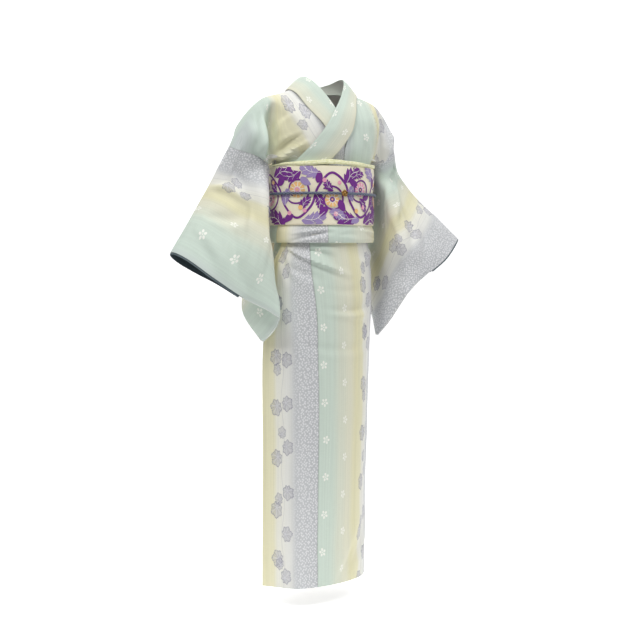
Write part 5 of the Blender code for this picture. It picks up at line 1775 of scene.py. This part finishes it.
def tube_points(line, radii, angles, closed):
    """A tube's points about a line, and which way each lies from it. radii may vary along it and round it."""
    ahead = np.roll(line, -1, axis=0) - np.roll(line, 1, axis=0) if closed else np.gradient(line, axis=0)
    way = unit(ahead)
    up = np.array([0.0, 0.0, 1.0])
    out = unit(np.cross(way, up))
    over = np.cross(out, way)
    ring = out[:, None] * np.cos(angles)[None, :, None] + over[:, None] * np.sin(angles)[None, :, None]
    return line[:, None] + ring * radii[..., None], ring


# %% The sash
def make_sash():
    count = 320
    degrees = np.linspace(-206, 26, count)
    part = np.linspace(0, 1, count)
    ends = 1 - ease(part, 0.0, 0.06) * (1 - ease(part, 0.94, 1.0))
    line = np.array([oval(angle, SASH_INSET + 0.0034 * end,
                          OBI_HIGH_Z + SASH_RADIUS + SASH_CLEAR - 0.0050 * end)
                     for angle, end in zip(degrees, ends)])
    run = lengths(line)
    middle = np.exp(-(((degrees + 104) / 20) ** 2))
    hidden = ease(-degrees, 150, 168)
    line[:, 2] += 0.0030 * middle + 0.0010 * np.sin(run * 31) - 0.0030 * hidden
    angles = round_angles(32)
    swell = SASH_RADIUS * (1 + 0.10 * np.sin(run * 47) + 0.08 * np.sin(run * 83 + 1) + 0.28 * middle)
    swell = swell * (1 - 0.62 * ends) * (1 - 0.45 * hidden)
    pleats = (np.cos(angles[None, :] * 5 + 9 * run[:, None])
              + 0.7 * np.cos(angles[None, :] * 3 - 23 * run[:, None] + 1))
    crush = (np.sin(run[:, None] * 210 + 2 * np.sin(angles)[None, :])
             * np.sin(run[:, None] * 37 + angles[None, :]))
    radii = swell[:, None] * (1 + 0.075 * pleats + 0.06 * crush)
    points, ring = tube_points(line, radii, angles, False)
    made = cloth("obi_sash", points, ring, bolt_place(angles[None, :] * 0.005, run[:, None]), SASH_CLOTH,
                 CREPE, CREPE, ["obi_sash"], "yellow")


make_sash()


# %% The braided cord
def make_cord():
    out = -(CORD_RADIUS + CORD_CLEAR - CORD_GROOVE)
    front = [oval(angle, out, CORD_Z) for angle in range(-200, 21, 10)]
    across = [np.array([AXIS_X + x, y, CORD_Z]) for x, y in CORD_SIDE]
    across += [np.array([AXIS_X - x, y, CORD_Z]) for x, y in reversed(CORD_SIDE)]
    route = np.array(front + across)
    closed = np.concatenate([route, route[:1]])
    run = lengths(closed)
    line = through(closed, run, np.linspace(0, run[-1], 781))
    fine = lengths(line)
    angles = round_angles(16)
    strand = fine[:, None] * 2 * np.pi / BRAID_PITCH
    weave = np.maximum(np.sin(4 * angles[None, :] + strand), np.sin(4 * angles[None, :] - strand))
    radii = CORD_RADIUS * (1 + 0.045 * weave)
    points, _ = tube_points(line[:-1], radii[:-1], angles, True)
    points = np.concatenate([points, points[:1]])
    faces = grid_faces(*points.shape[:2])
    mesh = bpy.data.meshes.new("obi_cord")
    mesh.from_pydata(points.reshape(-1, 3).tolist(), [], faces[:, ::-1].tolist())
    note_bolt(mesh, bolt_place(angles[None, :], fine[:, None]))
    mesh.materials.append(BRAID)
    mesh.shade_smooth()
    obj = in_scene("obi_cord_braid", mesh)
    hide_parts("obi_cord")
    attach(obj, "root")
    print("obi_cord:", len(faces), "faces,", round(float(fine[-1]), 3), "m round")


make_cord()


# %% The brooch: five petals about a bead
def make_brooch():
    back = -(OBI_HALF_DEPTH + 2 * CORD_RADIUS - CORD_GROOVE + 0.0020)
    around = 80
    angles = np.linspace(0, 2 * np.pi, around, endpoint=False)
    petal = np.abs(np.cos(2.5 * angles)) ** 0.7
    radius = ORNAMENT_RADIUS * (0.80 + 0.20 * petal)
    # Columns: share of the radius, depth forward.
    profile = [(0.0, 0.0), (0.90, 0.0), (1.0, 0.0016), (0.96, 0.0030), (0.80, 0.0037), (0.55, 0.0032),
               (0.34, 0.0024), (0.30, 0.0030), (0.27, 0.0042), (0.18, 0.0052), (0.0, 0.0056)]
    points = []
    for share, depth in profile:
        dip = 0.0010 * (1 - petal) * (1 if 0.35 < share < 1.0 else 0)
        for a, r, down in zip(angles, radius, dip):
            reach = (r if share > 0.35 else ORNAMENT_RADIUS) * share
            points.append((AXIS_X + reach * np.sin(a), back - depth + down, CORD_Z + reach * np.cos(a)))
    mesh = bpy.data.meshes.new("cord_ornament")
    mesh.from_pydata(points, [], ring_faces(len(profile), around))
    made = bmesh.new()
    made.from_mesh(mesh)
    bmesh.ops.remove_doubles(made, verts=made.verts, dist=1e-6)
    bmesh.ops.recalc_face_normals(made, faces=made.faces)
    made.to_mesh(mesh)
    made.free()
    mesh.materials.append(GOLD)
    mesh.shade_smooth()
    obj = in_scene("cord_brooch", mesh)
    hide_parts("cord_ornament")
    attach(obj, "root")
    print("cord_ornament:", len(mesh.polygons), "faces")


make_brooch()

# %% [markdown]
# ## Floor, light and camera
#
# The cloth is pale and nearly shadowless, so the set is a white sweep under broad soft lights. The
# strongest stands high in front and to the wearer's right, and shows the folds. The floor close to
# the camera is kept darker, so that it throws less light up into the sleeves. The camera stands just
# below the belt's height and to the wearer's right.

# %% A white sweep
FLOOR_Z = -1.345
# The camera's turn about the vertical, which the sweep follows.
VIEW_TURN = np.radians(-27.4)


def make_sweep():
    profile = [(-8.0, FLOOR_Z), (3.0, FLOOR_Z)]
    profile += [(3.0 + 2.0 * np.sin(a),
                 FLOOR_Z + 2.0 * (1 - np.cos(a))) for a in np.radians(range(10, 91, 10))]
    profile += [(5.0, 9.0)]
    points = []
    for away, z in profile:
        for beside in (-14.0, 14.0):
            x = beside * np.cos(VIEW_TURN) - away * np.sin(VIEW_TURN)
            y = beside * np.sin(VIEW_TURN) + away * np.cos(VIEW_TURN)
            points.append((x, y, z))
    faces = [(2 * i, 2 * i + 1, 2 * i + 3, 2 * i + 2) for i in range(len(profile) - 1)]
    mesh = bpy.data.meshes.new("sweep")
    mesh.from_pydata(points, [], faces)
    mesh.shade_smooth()
    white = bpy.data.materials.new("white paper")
    white.use_nodes = True
    shader = white.node_tree.nodes["Principled BSDF"]
    tree = white.node_tree
    where = tree.nodes.new("ShaderNodeTexCoord")
    split = tree.nodes.new("ShaderNodeSeparateXYZ")
    tree.links.new(where.outputs["Object"], split.inputs[0])
    # How far away a point of the floor lies from the middle, along the camera's line of sight.
    away = Output(split.outputs[0]) * 0.46 + Output(split.outputs[1]) * 0.888
    lit = between(away, -1.1, -0.35)
    wire(blend(lit, (0.55, 0.55, 0.55, 1), (0.95, 0.95, 0.95, 1)), shader.inputs["Base Color"])
    shader.inputs["Roughness"].default_value = 0.9
    shader.inputs["Emission Color"].default_value = (1, 1, 1, 1)
    wire(lit * 0.55, shader.inputs["Emission Strength"])
    mesh.materials.append(white)
    obj = in_scene("sweep", mesh)
    obj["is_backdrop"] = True


make_sweep()


# %% Soft lights
def soft_light(name, place, aim, size, power):
    data = bpy.data.lights.new(name, "AREA")
    data.shape = "RECTANGLE"
    data.size, data.size_y = size
    data.energy = power
    obj = in_scene(name, data)
    obj.location = place
    way = Vector(aim) - Vector(place)
    obj.rotation_euler = way.to_track_quat("-Z", "Y").to_euler()


# Columns: name, place, point it faces, width and height in metres, power in watts.
LIGHTS = [
    ("key", (-1.9, -1.5, 2.3), (0, 0, -0.4), (1.2, 1.2), 70),
    ("front", (0.55, -2.3, 2.2), (0, 0, -0.5), (0.9, 0.8), 20),
    ("top", (0.1, -0.5, 2.4), (0, 0, -0.4), (1.1, 1.1), 15),
    ("side", (1.5, -1.5, 1.2), (0, 0, -0.4), (1.0, 1.0), 10),
    ("back", (0.8, 2.8, 1.2), (0, 0, -0.5), (2.4, 2.0), 30),
]
for light in LIGHTS:
    soft_light(*light)
world = bpy.data.worlds.new("white room")
world.use_nodes = True
world.node_tree.nodes["Background"].inputs["Color"].default_value = (1, 1, 1, 1)
world.node_tree.nodes["Background"].inputs["Strength"].default_value = 0.22
bpy.context.scene.world = world
bpy.context.scene.view_settings.view_transform = "Standard"

# %% The camera
lens = bpy.data.cameras.new("photo view")
lens.lens = 54.5
lens.sensor_width = 36
lens.shift_y = -0.117
camera = in_scene("photo view", lens)
camera.location = (-1.164, -2.247, -0.436)
camera.rotation_euler = (np.radians(90), 0, VIEW_TURN)
bpy.context.scene.camera = camera

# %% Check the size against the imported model, then finish
own_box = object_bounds()
grown = [(own_box[1][i] - own_box[0][i]) - (cad_box[1][i] - cad_box[0][i]) for i in range(3)]
grown = [round(1000 * value, 1) for value in grown]
print("grown by mm:", grown)
